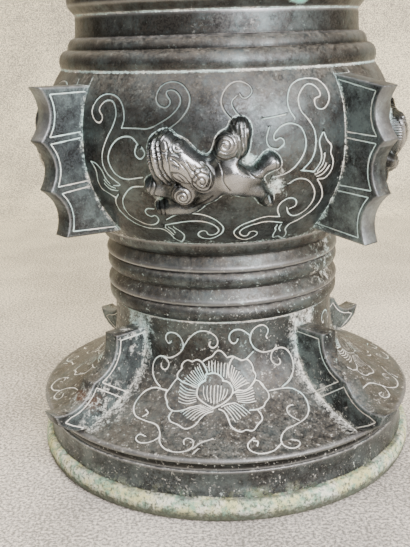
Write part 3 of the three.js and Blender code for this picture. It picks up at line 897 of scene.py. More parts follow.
def add_turned(name, outline, slot, node, seams=()):
    """A plain turned section with softened corners, from a closed outline.

    A seam is a radius, a level and how pale it is."""
    sizes = bpy.context.scene.vase_sizes
    corners = [*sharp_corners(outline, True), *sharp_corners(outline, False), *seams]
    spots = divided(soften(outline, sizes.edge_round / mm, seams), corners)
    spots.append(spots[0])
    points, faces = open_turned(spots, sizes.turned_steps)
    marks = turned_marks(spots, outline, seams, (), sizes.turned_steps)
    add_piece(name, [(points, faces, marks)], slot, node)


def seam_lines(sheet, seam_levels, root_low, root_high):
    """The pale lines of a panel: its seams, verdigris with a painted edge highlight, and the roots of its
    flanges.
    """
    step, clear = 0.8, 0.15
    along = np.arange(-sheet.half, sheet.half, step)
    lines = [np.stack([along, np.full(len(along), up)], axis=1) for up in seam_levels]
    up = np.arange(root_low, root_high, step)
    beside_flange = sheet.half - (flange_thickness / 2 + clear) / sheet.stretch(up)
    lines += [np.stack([side * beside_flange, up], axis=1) for side in (-1, 1)]
    return [(line, seam_half_width) for line in lines]


def add_engraved(name, sheet, cuts, stains, rest, slot, node, extra_marks=None, shade_and_soot=()):
    """A turned section with an engraved outer wall. rest is its outline from the wall's top to its bottom.

    extra_marks gives further marks as functions of the flat points. The last argument holds places darkened
    with painted shade."""
    sizes = bpy.context.scene.vase_sizes
    spacing = sizes.panel_spacing / mm
    border = sheet.border(sizes.turned_steps // quarters, spacing)
    flat, triangles, cut_share, cut_width, stain_share = carved_field(
        border, cuts, spacing, stretch=sheet.stretch, lift=sheet.place, stains=stains)
    rim = np.minimum(flat[:, 1] - sheet.up[0], sheet.up[-1] - flat[:, 1])
    inland = np.clip(np.minimum(rim, sheet.half - np.abs(flat[:, 0])), 0, 1)
    points = sheet.place(flat, -cut_depth(cut_share, cut_width) * inland)
    marks = {"engraved": line_mark(cut_share), "crevice": line_mark(stain_share) * 0.78}
    for key, marks_at in (extra_marks or {}).items():
        marks[key] = np.maximum(marks.get(key, 0), marks_at(flat))
    parts = [(turn_about_axis(points, k * quarter_turn), triangles, marks) for k in range(quarters)]
    wall_top, wall_bottom = tuple(sheet.spots[-1]), tuple(sheet.spots[0])
    outline = [wall_top, *rest, wall_bottom]
    closed = [*outline, *[tuple(s) for s in sheet.spots[1:-1:8]]]
    corners = [*sharp_corners(closed, True), *sharp_corners(closed, False)]
    spots = divided(outline, corners, closed=False)
    points, faces = open_turned(spots, sizes.turned_steps)
    parts.append((points, faces, turned_marks(spots, closed, (), shade_and_soot, sizes.turned_steps)))
    add_piece(name, parts, slot, node)


def border_edges(triangles):
    """The edges that only one triangle has, in its own direction."""
    seen = {edge: True for a, b, c in triangles for edge in ((a, b), (b, c), (c, a))}
    return [edge for edge in seen if (edge[1], edge[0]) not in seen]


def two_sided(front, back, triangles, marks):
    """A part closed round its border, from the points of its two sides and the triangles of one."""
    count = len(front)
    faces = [*triangles, *[(c + count, b + count, a + count) for a, b, c in triangles]]
    faces += [(b, a, a + count, b + count) for a, b in border_edges(triangles)]
    return np.vstack([front, back]), faces, {key: np.tile(values, 2) for key, values in marks.items()}


def scalloped_edge(cusps, sag, steps=10):
    """The edge of a flange: arcs that bow towards the body from one cusp to the next."""
    points = [cusps[0]]
    for a, b in zip(cusps, cusps[1:]):
        start, end = Vector(a), Vector(b)
        along = (end - start).normalized()
        hollow = (start + end) / 2 + Vector((along.y, -along.x)) * 2 * sag
        points += [bent(start, hollow, end, k / steps) for k in range(1, steps + 1)]
    return points


def frames(cusps, roots, wall, sag, toe=()):
    """The cut frame of each scallop: out along one spoke, round inside the scallop and back along the next.

    The last frame comes back along the toe's points, where these are given."""
    lines = []
    last = len(cusps) - 1
    step, clear = 0.45, 0.6
    for i in range(last):
        arc = evenly(scalloped_edge(cusps[i:i + 2], sag), step)
        inner = beside(arc, -frame_inset, same_width)
        ends = []
        for k, sense in ((i, 1), (i + 1, -1)):
            outer, root = np.array(cusps[k]), np.array(roots[k])
            spoke = (root - outer) / np.linalg.norm(root - outer)
            into = sense * np.array([-spoke[1], spoke[0]])
            offset = frame_inset if k in (0, last) else frame_gap / 2
            inner = inner[(inner - outer) @ into > offset]
            radius, level = root + into * offset
            ends.append((max(wall(level), radius - frame_inset) + clear, level))
        back = toe if toe and i == last - 1 else [ends[1]]
        lines.append(evenly([ends[0], *inner, *back], step))
    return lines


def add_flange(name, outline, free_count, lines, node, corner):
    """A scalloped flange with filed edges. The outline's first free_count spots stand clear of the wall."""
    sizes = bpy.context.scene.vase_sizes
    rounding = sizes.flange_round / mm
    cuts = [(line, sizes.line_width / mm / 2) for line in lines]
    free = evenly(outline[:free_count], 0.5)
    root = evenly([*outline[free_count - 1:], outline[0]], 0.8)
    stain = [(beside(root[1:-1], -root_sink, same_width), seam_half_width)]
    bands = [beside(free, -rounding * share, same_width) for share in (0.12, 0.4, 0.75, 1.1, 2.0)]
    flat, triangles, cut_share, cut_width, stain_share = carved_field(
        np.vstack([free, root[1:-1]]), cuts, 1.6, stains=stain, extra=bands)
    to_edge = distances(tree_of(evenly(free, 0.1)), flat)
    shallow = np.clip(1 - to_edge / rounding, 0, 1)
    drop = rounding * (1 - np.sqrt(1 - shallow ** 2 * 0.999))
    half = flange_thickness / 2 - drop - cut_depth(cut_share, cut_width)
    to_root = distances(tree_of(evenly(root, 0.3)), flat)
    root_damp = np.exp(-(to_root / root_damp_reach) ** 2) * flange_root_damp
    # A band along the filed edge is rubbed and carries a painted highlight; the outer edge face is painted
    # darker
    on_edge = to_edge < 0.02
    marks = {
        "engraved": line_mark(cut_share),
        "crevice": np.maximum(line_mark(stain_share) * 0.55, root_damp),
        "worn_and_highlit": np.where(on_edge, 0.0, np.exp(-((to_edge - rounding / 2) / edge_rub_and_highlight) ** 2)),
        "shade_and_soot_mark": np.where(on_edge, edge_darkening, 0.0),
    }
    front = np.stack([flat[:, 0], -half, flat[:, 1]], axis=1)
    part = two_sided(front, front * (1, -1, 1), triangles, marks)
    add_piece(name, [part], "flange_bronze", node, (corner - 0.5) * quarter_turn)


def wall_line(radius_at, low, high, steps):
    """The wall that a flange is soldered to, from a low level up to a high one."""
    return [(radius_at(level) - root_sink, level) for level in np.linspace(low, high, steps + 1)]


def bulb_flange_parts(place):
    """Outline, count of its free spots and cut lines of a bulb flange."""
    crown_drift, cusp_drift, heel_drift = bulb_flange_drift.get(place, (0.0, (0.0,) * 4, 0.0))
    cusps = [
        (bulb_radius + r, widest_level + h + drift)
        for r, h, drift in zip(bulb_flange_reach, bulb_flange_level, cusp_drift)]
    edge = scalloped_edge(cusps, bulb_scallop_sag)
    heel = widest_level + bulb_heel_level + heel_drift
    crown = widest_level + bulb_crown_level + crown_drift

    def wall(level):
        return bulb_radius_at(level - bulb_level)

    roots = [(wall(crown), crown), *[(wall(z + 1), z + 1) for _, z in cusps[1:-1]], (wall(heel), heel)]
    free = [roots[0], *edge, roots[-1]]
    lines = frames(cusps, roots, wall, bulb_scallop_sag)
    return [*free, *wall_line(wall, heel, crown, 24)], len(free), lines


def foot_flange_parts(place):
    """Outline, count of its free spots and cut lines of a foot flange, the same at each place."""
    cusps = [
        (stem_radius + r + out, bell_top - d + up)
        for r, d, (out, up) in zip(foot_flange_reach, foot_flange_drop, foot_cusp_drift)]
    edge = scalloped_edge(cusps, foot_scallop_sag)
    toe = (stem_radius + foot_toe_reach, bell_top - foot_toe_drop)

    def wall(level):
        return cone_radius((level - cone_level) / (bell_top - cone_level))

    low, high = cone_level + 0.3, cusps[0][1]
    middle = cusps[1][1] - foot_spoke_drop
    roots = [(wall(high), high), (wall(middle), middle), toe]
    free = [(wall(high), high), *edge, *foot_toe_edge, (wall(low) - 0.2, low + 0.2)]
    lines = frames(cusps, roots, wall, foot_scallop_sag, foot_toe_frame)
    return [*free, *wall_line(wall, low, high, 36)], len(free), lines


def neck_flange_parts(place):
    """Outline, count of its free spots and cut lines of a neck flange, the same at each place."""

    def wall(level):
        return trumpet_radius((level - trumpet_level) / trumpet_height)

    cusps = [
        (wall(trumpet_level + h) + r, trumpet_level + h)
        for r, h in zip(neck_flange_reach[::-1], neck_flange_level[::-1])]
    edge = scalloped_edge(cusps, neck_scallop_sag)
    crown, heel = cusps[0][1], cusps[-1][1]
    roots = [(wall(z), z) for _, z in cusps]
    free = [(wall(crown), crown), *edge, (wall(heel), heel)]
    lines = frames(cusps, roots, wall, neck_scallop_sag)
    return [*free, *wall_line(wall, heel, crown, 40)], len(free), lines


# Where the photograph shows a turquoise run on the neck ring and red oxide on a foot flange
turquoise_place = (31, -50, 187)
rust_place = (-52, -52, 36)
# Places where damp has run: right, back, up and radius
damp_places = [
    (42, -24, 84, 13), (-42, -40, 99, 9), (44, -40, 98, 10), (-47, -50, 34, 12), (-33, -36, 58, 9),
    (43, -43, 40, 8)]

# Lion relief: its outline and rounded masses, millimetres right and up from the middle of the widest level
lion_outline = [
    (-17, 8), (-14, 8.5), (-11, 6), (-8.5, 5), (-6, 2.5), (-3, 0), (-0.5, 0), (1, 2.5), (2, 5.5), (4, 7.5),
    (6, 8.5), (7, 11), (9, 12), (11.5, 12), (13, 10.5), (14, 7.5), (13.5, 4.5), (13, 1.5), (12, -1),
    (10, -2.5), (11.5, -4), (14, -4.5), (15.5, -3), (18.5, 0), (20, 0.5), (22, -0.5), (24, -3), (24, -5.5),
    (21.5, -6.5), (18.5, -8), (18, -9), (19, -11), (20.5, -13.5), (22.5, -16.5), (22.5, -19), (20, -20),
    (18, -19.5), (16, -17), (14, -15.5), (11.5, -16), (8.5, -15), (6, -14.5), (4, -14.5), (1.5, -16.5),
    (-1.5, -18), (-3, -19), (-4.5, -20.5), (-7.5, -22), (-11, -22), (-15, -22.5), (-19.5, -23),
    (-21.5, -21), (-22, -19), (-20.5, -17), (-18, -16), (-16.5, -16), (-18.5, -15), (-21, -14.5),
    (-22.5, -13.5), (-24, -11.5), (-24, -9.5), (-22.5, -8), (-21, -7.5), (-21.5, -4.5), (-22, -1.5),
    (-22, 1.5), (-21, 5), (-19, 7)]
# Each mass: right, up, half length, half height, standing height and lean in degrees
lion_masses = {
    "head": (-14.2, -0.6, 9.0, 9.6, 6.4, -12),
    "cheek": (-7.6, -3.2, 6.6, 8.2, 6.2, 30),
    "chest": (-9.4, -12.8, 4.8, 4.4, 5.8, 0),
    "shoulder": (-2.6, -7.6, 5.0, 5.6, 5.2, 0),
    "waist": (1.6, -9.6, 7.4, 5.4, 3.8, 0),
    "haunch": (7.2, -7.6, 6.4, 7.4, 5.8, 14),
    "thigh": (13.6, -7.4, 5.8, 3.4, 4.2, 10),
    "raised_leg": (16.6, -4.6, 4.6, 3.0, 3.8, 30),
    "raised_paw": (20.6, -3.2, 4.4, 3.8, 4.8, 24),
    "shank": (13.6, -12.2, 8.4, 3.4, 3.8, -14),
    "hind_paw": (20.4, -17.2, 3.4, 3.4, 3.8, 0),
    "tail_curl": (4.8, 3.2, 5.2, 5.4, 5.4, 0),
    "tail_tuft": (9.9, 4.6, 4.6, 8.8, 5.0, -6),
    "belly": (-0.6, -14.6, 6.0, 3.2, 3.4, 12),
    "foreleg": (-12.6, -19.2, 9.6, 3.4, 4.2, 4),
    "front_paw": (-19.6, -11.6, 5.4, 4.0, 4.4, -30),
}
# Carved lines by the half width of their cut in millimetres
lion_lines = {
    0.7: [
        [(-17.5, 7), (-19, 5), (-19.5, 2), (-19, -2), (-18, -6), (-16, -8.5)],
        [(-16, 8), (-17, 6), (-17.5, 3.5), (-17, 1), (-16.5, -2), (-16, -4.5), (-14.5, -7.5), (-13.5, -9)],
        [(-14.5, 8), (-16, 5.5), (-16, 3.5), (-15.5, 1), (-15, -1), (-15, -3.5), (-14, -5.5), (-12.5, -8),
         (-11, -9.5)],
    ],
    0.34: [
        [(-13, 7.5), (-14.5, 5.5), (-15.5, 3.5), (-14.5, 1.5), (-13.5, 1.5), (-13, 3), (-13.5, 4.5)],
        [(-11, 5.5), (-12.5, 3), (-13, 0), (-12.5, -2), (-12.5, -4.5), (-12, -7), (-10.5, -9), (-8.5, -10)],
        [(-11.5, 1), (-10.5, 1), (-9.5, 0.5)],
        [(-11.5, -0.5), (-10.5, -1), (-9.5, -2)],
        [(-11.5, -2), (-10.5, -2.5), (-9.5, -3)],
        [(-12, -4.5), (-10, -4.5), (-8, -6), (-6.5, -8.5)],
        [(-12, -4.5), (-11.5, -6.5), (-9.5, -8), (-6.5, -8.5)],
        [(-10, -5.5), (-8.5, -7.5)],
        [(-1.5, -3), (0, -5), (0.5, -7.5), (-0.5, -10)],
        [(-3, -2), (-1, -4), (-0.5, -7), (-1.5, -9)],
        [(-8.5, -2), (-7, -4), (-6, -6.5), (-5, -8)],
        [(-7, -1.5), (-5.5, -4), (-4, -6)],
        [(-4.5, -3), (-3, -4.5)],
        [(-12.5, -14.5), (-9.5, -16.5), (-6, -16), (-4.5, -14)],
        [(-21, -7.5), (-20, -9), (-21, -12)],
        [(-19.5, -7.5), (-18.5, -9), (-19.5, -12.5)],
        [(-19.5, -17), (-18.5, -19), (-18.5, -21)],
        [(-17.5, -16), (-17, -18), (-17, -21)],
        [(-19.5, -12.5), (-16, -14), (-13, -15.5), (-9.5, -17.5), (-5, -16.5), (-1.5, -14.5), (0.5, -13)],
    ],
    0.45: [
        [(8, 12), (7, 10), (7.5, 8), (8.5, 5), (9, 2.5), (8, -1)],
        [(9, 12), (8, 10), (8.5, 7), (9.5, 4.5), (9.5, 2), (8.5, -1)],
        [(10, 12), (9, 9), (9.5, 6), (10, 2.5), (9.5, -1)],
        [(11, 11.5), (10.5, 8.5), (10.5, 5), (11, 1.5), (10.5, -0.5)],
        [(12.5, 11), (11.5, 7.5), (12, 4.5), (12, 1.5), (11, 0)],
    ],
    0.36: [
        [(20.5, 0), (21, -2), (21, -4.5)],
        [(21.5, -0.5), (22.5, -2.5), (22, -4.5)],
        [(17.5, -0.5), (15.5, -2.5), (15, -4.5)],
        [(19.5, -14.5), (20, -16.5), (18.5, -18)],
        [(18.5, -13.5), (17.5, -15.5), (17.5, -17.5)],
        [(3, -2.5), (4, -5), (4, -7.5), (6, -10.5)],
        [(8.5, -3), (11, -5), (14, -7), (17, -8)],
    ],
}
# Curled locks: middle, inner radius, outer radius, turns and starting angle
lion_curls = [
    ((-10.0, 3.2), 0.4, 2.1, 1.6, 90),
    ((-2.8, -7.7), 0.5, 4.2, 2.8, 200),
    ((-9.4, -12.8), 0.5, 3.9, 2.9, 20),
    ((4.8, 3.2), 0.5, 4.9, 3.4, 160),
]
curl_half_width = 0.36
# Short cuts down the mane's edge: how many, their half width, their levels and their length
mane_tooth_count = 9
mane_tooth_half_width = 0.25
mane_tooth_top = 5.0
mane_tooth_bottom = -2.5
mane_tooth = ((-21.2, 0.0), (-19.8, 0.2))
# Height of the relief between its masses, and how far in from its border it has swelled to its full height
lion_base_height = 3.1
lion_edge_width = 2.4
lion_edge_share = 0.16
lion_cut_share = 1.6
lion_spacing = 0.55
# The lion is rubbed and painted with a highlight where it stands higher than this, wholly so after a further
# rise
lion_rubbed_and_highlit_height = 3.4
lion_rubbed_and_highlit_rise = 2.2
# Verdigris round the lion's border
lion_crust_reach = 0.6
lion_crust = 0.56
# Damp that has turned the bronze green round the lion: right, up, radius and strength
lion_damp = [
    (22.8, -12.5, 5.4, 0.8), (24.5, -7, 3.4, 0.6), (12.8, -2.2, 3.2, 0.85), (-19.5, -16.6, 3.2, 0.8),
    (-3, -0.2, 2.2, 0.64), (-23.5, -14, 2.6, 0.56), (27, -16, 3.6, 0.5), (-25, 2, 2.4, 0.5)]


def mass_heights(flat):
    """Standing height of the lion's masses at each flat point, melted into each other and into its base."""
    melt = 4.0
    total = np.full(len(flat), lion_base_height ** melt)
    for right, up, half, high, proud, lean in lion_masses.values():
        c, s = math.cos(math.radians(lean)), math.sin(math.radians(lean))
        x, y = flat[:, 0] - right, flat[:, 1] - up
        share = ((x * c + y * s) / half) ** 2 + ((y * c - x * s) / high) ** 2
        total += (proud * np.sqrt(np.clip(1 - share, 0, 1))) ** melt
    return total ** (1 / melt)


def lion_cuts():
    """The lion's carved lines, curled locks and mane, each with the half width of its cut."""
    cuts = [(smooth_line(line, step=0.35), width) for width, lines in lion_lines.items() for line in lines]
    cuts += [(spiral(*curl), curl_half_width) for curl in lion_curls]
    for up in np.linspace(mane_tooth_top, mane_tooth_bottom, mane_tooth_count):
        cuts.append((evenly(mane_tooth, 0.35) + (0, up), mane_tooth_half_width))
    return cuts


def lion_parts():
    """The lion's surface, standing on the bulb, with its carved locks and toes."""
    outline = smooth_line(lion_outline, closed=True, step=0.5)[:-1]
    flat, triangles, cut_share, cut_width, _ = carved_field(
        outline[::-1], lion_cuts(), lion_spacing, stretch=bulb_sheet.stretch, lift=bulb_sheet.place)
    to_edge = distances(tree_of(evenly(outline, 0.1)), flat)
    swell = np.sin(np.clip(to_edge / lion_edge_width, 0, 1) * math.pi / 2)
    height = mass_heights(flat) * (lion_edge_share + (1 - lion_edge_share) * swell)
    height = height - cut_depth(cut_share, cut_width) * lion_cut_share * np.clip(to_edge / 0.8, 0, 1)
    crusted = np.exp(-(to_edge / lion_crust_reach) ** 2)
    # High places are rubbed and carry a painted highlight
    rubbed_and_highlit = np.clip((height - lion_rubbed_and_highlit_height) / lion_rubbed_and_highlit_rise, 0, 1)
    marks = {
        "engraved": line_mark(cut_share),
        "crevice": crusted * np.maximum(lion_crust, damp_spots(flat, lion_damp)),
        "worn_and_highlit": rubbed_and_highlit * np.clip(cut_share, 0, 1),
    }
    points, faces, both = two_sided(
        bulb_sheet.place(flat, height), bulb_sheet.place(flat, -root_sink), triangles, marks)
    both["crevice"][len(flat):] = 1.0
    return [(points, faces, both)]


# Kinds of shader node: type, output, inputs in the order in which they are given, and settings.
# A range turns a value from one span, low and high, into another span, 0 to 1 unless it is given.
span_inputs = ("Value", "From Min", "From Max", "To Min", "To Max")
ranged = ("ShaderNodeMapRange", "Result", span_inputs, {})
eased = ("ShaderNodeMapRange", "Result", span_inputs, {"interpolation_type": "SMOOTHSTEP"})
noise = ("ShaderNodeTexNoise", "Fac", ("Vector", "Scale", "Detail", "Roughness", "Distortion"), {})
mixed = ("ShaderNodeMix", 0, ("Factor", 2, 3), {})
tinted = ("ShaderNodeMix", 2, ("Factor", 6, 7), {"data_type": "RGBA"})
summed, difference, product, greatest, product_plus = (
    ("ShaderNodeMath", 0, (0, 1, 2), {"operation": operation})
    for operation in ("ADD", "SUBTRACT", "MULTIPLY", "MAXIMUM", "MULTIPLY_ADD"))
distance = ("ShaderNodeVectorMath", "Value", (0, 1), {"operation": "DISTANCE"})
upward_part, backward_part = (("ShaderNodeSeparateXYZ", axis, (0,), {}) for axis in "ZY")
coordinates = ("ShaderNodeTexCoord", "Object", (), {})
facing = ("ShaderNodeNewGeometry", "Normal", (), {})
attribute = ("ShaderNodeAttribute", "Fac", (), {})
bumped = ("ShaderNodeBump", "Normal", ("Height", "Strength", "Distance", "Normal"), {})
# The shader's inputs that the rim's crust covers
covered_inputs = ("Base Color", "Metallic", "Roughness", "Normal")

# Patterns of the patina, the rim's crust and the felt: size in millimetres, detail, roughness and distortion
patina_patterns = {
    "cloud": (30, 5, 0.55),
    "blotch": (7, 8, 0.7, 0.4),
    "powder": (2.6, 7, 0.72),
    "grain": (0.8, 4, 0.7),
    "haze": (16, 10, 0.78),
    "filling": (26, 5),
    "fleck": (0.9, 3, 0.6),
    "tinge": (12, 3, 0.55),
}
crust_patterns = {
    "ragged": (14, 8, 0.7, 0.5),
    "crumbs": (1.5, 6, 0.75),
    "cream": (11, 7, 0.7),
    "green": (5, 8, 0.75),
}
felt_patterns = {"fibre": (1.2, 4, 0.7), "clouds": (90, 6, 0.6)}


def add_node(tree, kind, *sources, **settings):
    """Adds a node with its settings and links, and gives its output. A source is a value or an output."""
    type_name, output, inputs, own_settings = kind
    node = tree.nodes.new(type_name)
    for name, value in {**own_settings, **settings}.items():
        setattr(node, name, value)
    for name, source in zip(inputs, sources):
        if isinstance(source, bpy.types.NodeSocket):
            tree.links.new(source, node.inputs[name])
        else:
            node.inputs[name].default_value = source
    return node.outputs[output]


def add_patterns(add, place, patterns):
    """The patterns of a table, each by its name."""
    return {key: add(noise, place, 1 / (size * mm), *rest) for key, (size, *rest) in patterns.items()}


def start_material(name, patterns):
    """A new material with its shader, its tree's add_node, its place in space and its patterns."""
    material = bpy.data.materials.new(name)
    material.use_nodes = True
    add = functools.partial(add_node, material.node_tree)
    place = add(coordinates)
    pattern = add_patterns(add, place, patterns)
    return material, material.node_tree.nodes["Principled BSDF"], add, place, pattern


def link_shader(material, sources):
    """Links outputs to the inputs of a material's shader."""
    shader = material.node_tree.nodes["Principled BSDF"]
    for name, source in sources.items():
        material.node_tree.links.new(source, shader.inputs[name])


def stain_at(add, place, centre, radius, ragged):
    """A ragged stain round a place in millimetres, from 0 outside to 1 in its middle."""
    away = add(distance, place, [c * mm for c in centre])
    wobble = add(ranged, ragged, 0, 1, -0.8 * radius * mm, 0.8 * radius * mm)
    return add(eased, add(summed, away, wobble), radius * mm, radius * 0.6 * mm)


def metal_colour(add, pattern, brown_share, filming):
    """Grey to brown metal with dark oxide, under a thin green film that breaks up into specks."""
    colours = bpy.context.scene.vase_colours
    tone = add(eased, add(summed, pattern["cloud"], brown_share), 0.8, 1.2)
    stained = add(eased, pattern["blotch"], 0.42, 0.72)
    grained = add(eased, pattern["grain"], 0.42, 0.62, 0, 0.85)
    film = add(product_plus, pattern["grain"], 0.35, pattern["haze"])
    film = add(eased, film, 0.6, 0.82, 0, filming)
    base = add(tinted, tone, colours.bronze_grey, colours.bronze_brown)
    base = add(tinted, stained, base, colours.bronze_dark)
    base = add(tinted, grained, base, colours.bronze_dark)
    return add(tinted, film, base, colours.film)


def verdigris(add, place, level, pattern, mark, line_fill, blooming):
    """How far pale verdigris covers the metal: in cut lines, in seams, where it also serves as a painted
    edge highlight, and in blooms, flecks and runs of damp.
    """
    filled = add(difference, pattern["filling"], mark["bare"])
    filled = add(ranged, filled, 0.1, 0.55, 0.25, line_fill)
    line = add(product_plus, pattern["powder"], 0.8, mark["engraved"])
    line = add(product, add(eased, line, 0.78, 1.1), filled)
    nook = add(summed, mark["crevice"], pattern["speckle"])
    nook = add(eased, nook, 1.46, 1.85, 0, 0.9)
    bloom = add(product_plus, pattern["grain"], 0.2, pattern["blotch"])
    bloom = add(eased, bloom, 0.9 - blooming, 1.02 - blooming, 0, 0.6)
    # Flecks gather in clusters on the foot, and hardly any lie above the stem
    lower = add(eased, level, 65 * mm, 100 * mm, 1, 0.18)
    clustered = add(product, add(eased, pattern["powder"], 0.48, 0.64), lower)
    fleck = add(product, add(eased, pattern["fleck"], 0.54, 0.66, 0, 0.75), clustered)
    crumbling = add(eased, add(summed, pattern["powder"], pattern["speckle"]), 1.5, 1.78, 0, 0.75)
    runs = [stain_at(add, place, centre, radius, pattern["blotch"]) for *centre, radius in damp_places]
    pale = line
    for more in (nook, bloom, fleck, *[add(product, run, crumbling) for run in runs]):
        pale = add(greatest, pale, more)
    return pale


def bronze(name, brown_share, metal, smooth, rough, line_fill, dustiness, wear_and_highlight, filming, blooming):
    """Cast bronze under an old brown and grey patina, with verdigris where damp has stood."""
    colours = bpy.context.scene.vase_colours
    material, _, add, place, pattern = start_material(name, patina_patterns)
    pattern["speckle"] = add(summed, pattern["powder"], pattern["grain"])
    mark = {key: add(attribute, attribute_name=key) for key in mark_names}
    level = add(upward_part, place)
    base = metal_colour(add, pattern, brown_share, filming)
    # Painted shade darkens the hollows and the sides of the cuts, where shade falls, together with the
    # oldest, darkest oxide beside the cuts
    shade_and_soot = add(greatest, add(eased, mark["engraved"], 0.02, 0.4), mark["shade_and_soot_mark"])
    base = add(tinted, add(product, shade_and_soot, 0.85), base, colours.shade_and_soot)
    # Dust lies on faces that look up
    dusty = add(eased, pattern["speckle"], 0.75, 1.3, 0, dustiness)
    dusty = add(product, add(eased, add(upward_part, add(facing)), 0.05, 0.75), dusty)
    base = add(tinted, dusty, base, colours.dust)
    # Rubbed high places and edges show cleaner, smoother metal, painted paler as a painted highlight too
    rubbed_and_highlit = add(product, mark["worn_and_highlit"], wear_and_highlight)
    base = add(tinted, rubbed_and_highlit, base, colours.bronze_rubbed_and_highlit)
    rust = stain_at(add, place, rust_place, stain_radius, pattern["powder"])
    base = add(tinted, add(product, rust, 0.5), base, colours.rust)
    # The verdigris is cream on the foot, bluer higher up, and turquoise in one place
    turquoise = stain_at(add, place, turquoise_place, stain_radius, pattern["blotch"])
    pale = verdigris(add, place, level, pattern, mark, line_fill, blooming)
    pale = add(greatest, pale, turquoise)
    bluer = add(ranged, level, 25 * mm, 90 * mm, -0.12, 0.06)
    hue = add(eased, add(summed, pattern["tinge"], bluer), 0.42, 0.62)
    tint = add(tinted, hue, colours.verdigris_pale, colours.verdigris_blue)
    tint = add(tinted, turquoise, tint, colours.turquoise)
    # Verdigris and dust are dull and not metallic
    dull = add(greatest, pale, dusty)
    gloss = add(ranged, pattern["blotch"], 0.3, 0.75, smooth, rough)
    gloss = add(product_plus, rubbed_and_highlit, -0.12, gloss)
    gloss = add(summed, gloss, add(ranged, pattern["grain"], 0, 1, -0.15, 0.15))
    link_shader(material, {
        "Base Color": add(tinted, pale, base, tint),
        "Metallic": add(ranged, dull, 0, 1, metal, 0),
        "Roughness": add(mixed, dull, gloss, 0.85),
        "Normal": add(bumped, add(summed, pattern["speckle"], pale), 0.3, 0.14 * mm),
    })
    return material


def dark_bronze():
    """Turned and chased bronze: smooth, dark and softly shining, greyer where hands have rubbed it, with
    painted highlights on its edges.
    """
    return bronze(
        "patinated_turned_bronze", brown_share=0.58, metal=0.88, smooth=0.33, rough=0.52, line_fill=1.0,
        dustiness=0.75, wear_and_highlight=0.8, filming=0.45, blooming=0.03)


def flange_bronze():
    """Sand-cast bronze left as cast: rougher and greyer than the turned walls."""
    return bronze(
        "patinated_sand_cast_bronze", brown_share=0.35, metal=0.8, smooth=0.36, rough=0.58, line_fill=0.9,
        dustiness=0.75, wear_and_highlight=0.35, filming=1.0, blooming=0.14)


def relief_bronze():
    """Chased relief bronze: rubbed bright with painted highlights on its high places, dark with painted
    shade in its cuts.
    """
    return bronze(
        "rubbed_relief_bronze", brown_share=0.38, metal=0.95, smooth=0.22, rough=0.4, line_fill=0.0,
        dustiness=0.1, wear_and_highlight=0.9, filming=0.15, blooming=0.0)


def crusted_bronze():
    """Bronze that has stood in damp: a yellow green carbonate crust on the rim that creeps up the band."""
    material = bronze(
        "crusted_damp_bronze", brown_share=0.42, metal=0.8, smooth=0.3, rough=0.5, line_fill=1.0,
        dustiness=0.3, wear_and_highlight=0.6, filming=0.45, blooming=0.0)
    colours = bpy.context.scene.vase_colours
    shader = material.node_tree.nodes["Principled BSDF"]
    add = functools.partial(add_node, material.node_tree)
    place = add(coordinates)
    level = add(upward_part, place)
    pattern = add_patterns(add, place, crust_patterns)
    # The crust is whole on the rim, and a thin wash of it climbs the band
    climb = add(summed, level, add(ranged, pattern["ragged"], 0, 1, -crust_wobble * mm, crust_wobble * mm))
    whole = add(eased, climb, (rim_height + 0.6) * mm, (rim_height - 0.3) * mm, 0, 0.94)
    thin = add(eased, level, (rim_height + crust_climb) * mm, rim_height * mm, 0, 0.75)
    patchy = add(eased, add(summed, pattern["ragged"], pattern["crumbs"]), 1.0, 1.2)
    wash = add(product, thin, patchy)
    crust = add(greatest, whole, wash)
    # Yellow green with cream and grey green patches, grey green dirt with a painted contact shadow on the
    # lowest part, and dark pits
    colour = add(tinted, add(eased, pattern["cream"], 0.4, 0.62), colours.rim_crust, colours.rim_cream)
    green = add(greatest, add(eased, pattern["green"], 0.46, 0.6, 0, 0.9), wash)
    colour = add(tinted, green, colour, colours.rim_green)
    dirt_and_shadow = add(eased, climb, dirt_and_shadow_top * mm, dirt_and_shadow_whole * mm, 0, 0.9)
    colour = add(tinted, dirt_and_shadow, colour, colours.rim_dirt_and_shadow)
    pits = add(eased, add(product_plus, dirt_and_shadow, 0.1, pattern["crumbs"]), 0.49, 0.62, 0, 0.85)
    colour = add(tinted, pits, colour, colours.rim_pit)
    # It covers the bronze's own look: dull, not metallic and crumbly
    base, metallic, roughness, normal = (
        shader.inputs[name].links[0].from_socket for name in covered_inputs)
    crumb = add(product, crust, pattern["crumbs"])
    link_shader(material, {
        "Base Color": add(tinted, crust, base, colour),
        "Metallic": add(mixed, crust, metallic, 0.0),
        "Roughness": add(mixed, crust, roughness, 0.9),
        "Normal": add(bumped, crumb, 0.9, 0.8 * mm, normal),
    })
    return material


slot_materials = {
    "dark_bronze": dark_bronze,
    "flange_bronze": flange_bronze,
    "relief_bronze": relief_bronze,
    "crusted_rim": crusted_bronze,
}


@functools.cache
def slot_material(slot):
    """The material of a slot, made once."""
    return slot_materials[slot]()


def felted_cloth():
    """Pale felted cloth: dull, with short fibres that shade it evenly, and clouds that leave it barer."""
    stage = bpy.context.scene.vase_stage
    material, shader, add, place, pattern = start_material("felted_cloth", felt_patterns)
    depth = add(eased, add(backward_part, place), -0.05, 0.4)
    pale = add(tinted, depth, stage.floor_colour, stage.backdrop_colour)
    fibre = add(eased, pattern["fibre"], 0.36, 0.64)
    clouds = add(eased, pattern["clouds"], 0.35, 0.65, 0, 0.3)
    share = add(greatest, add(difference, fibre, clouds), 0)
    link_shader(material, {"Base Color": add(tinted, share, stage.floor_shade, pale)})
    shader.inputs["Roughness"].default_value = 0.95
    return material


def soft_light(name, power, size, place, target, colour):
    """A large square soft light that looks at a target."""
    light = bpy.data.lights.new(name, "AREA")
    light.energy = power
    light.size = size
    light.color = linear(colour)[:3]
    lamp = bpy.data.objects.new(name, light)
    lamp.location = place
    lamp.rotation_euler = (Vector(target) - Vector(place)).to_track_quat("-Z", "Y").to_euler()
    bpy.context.scene.collection.objects.link(lamp)


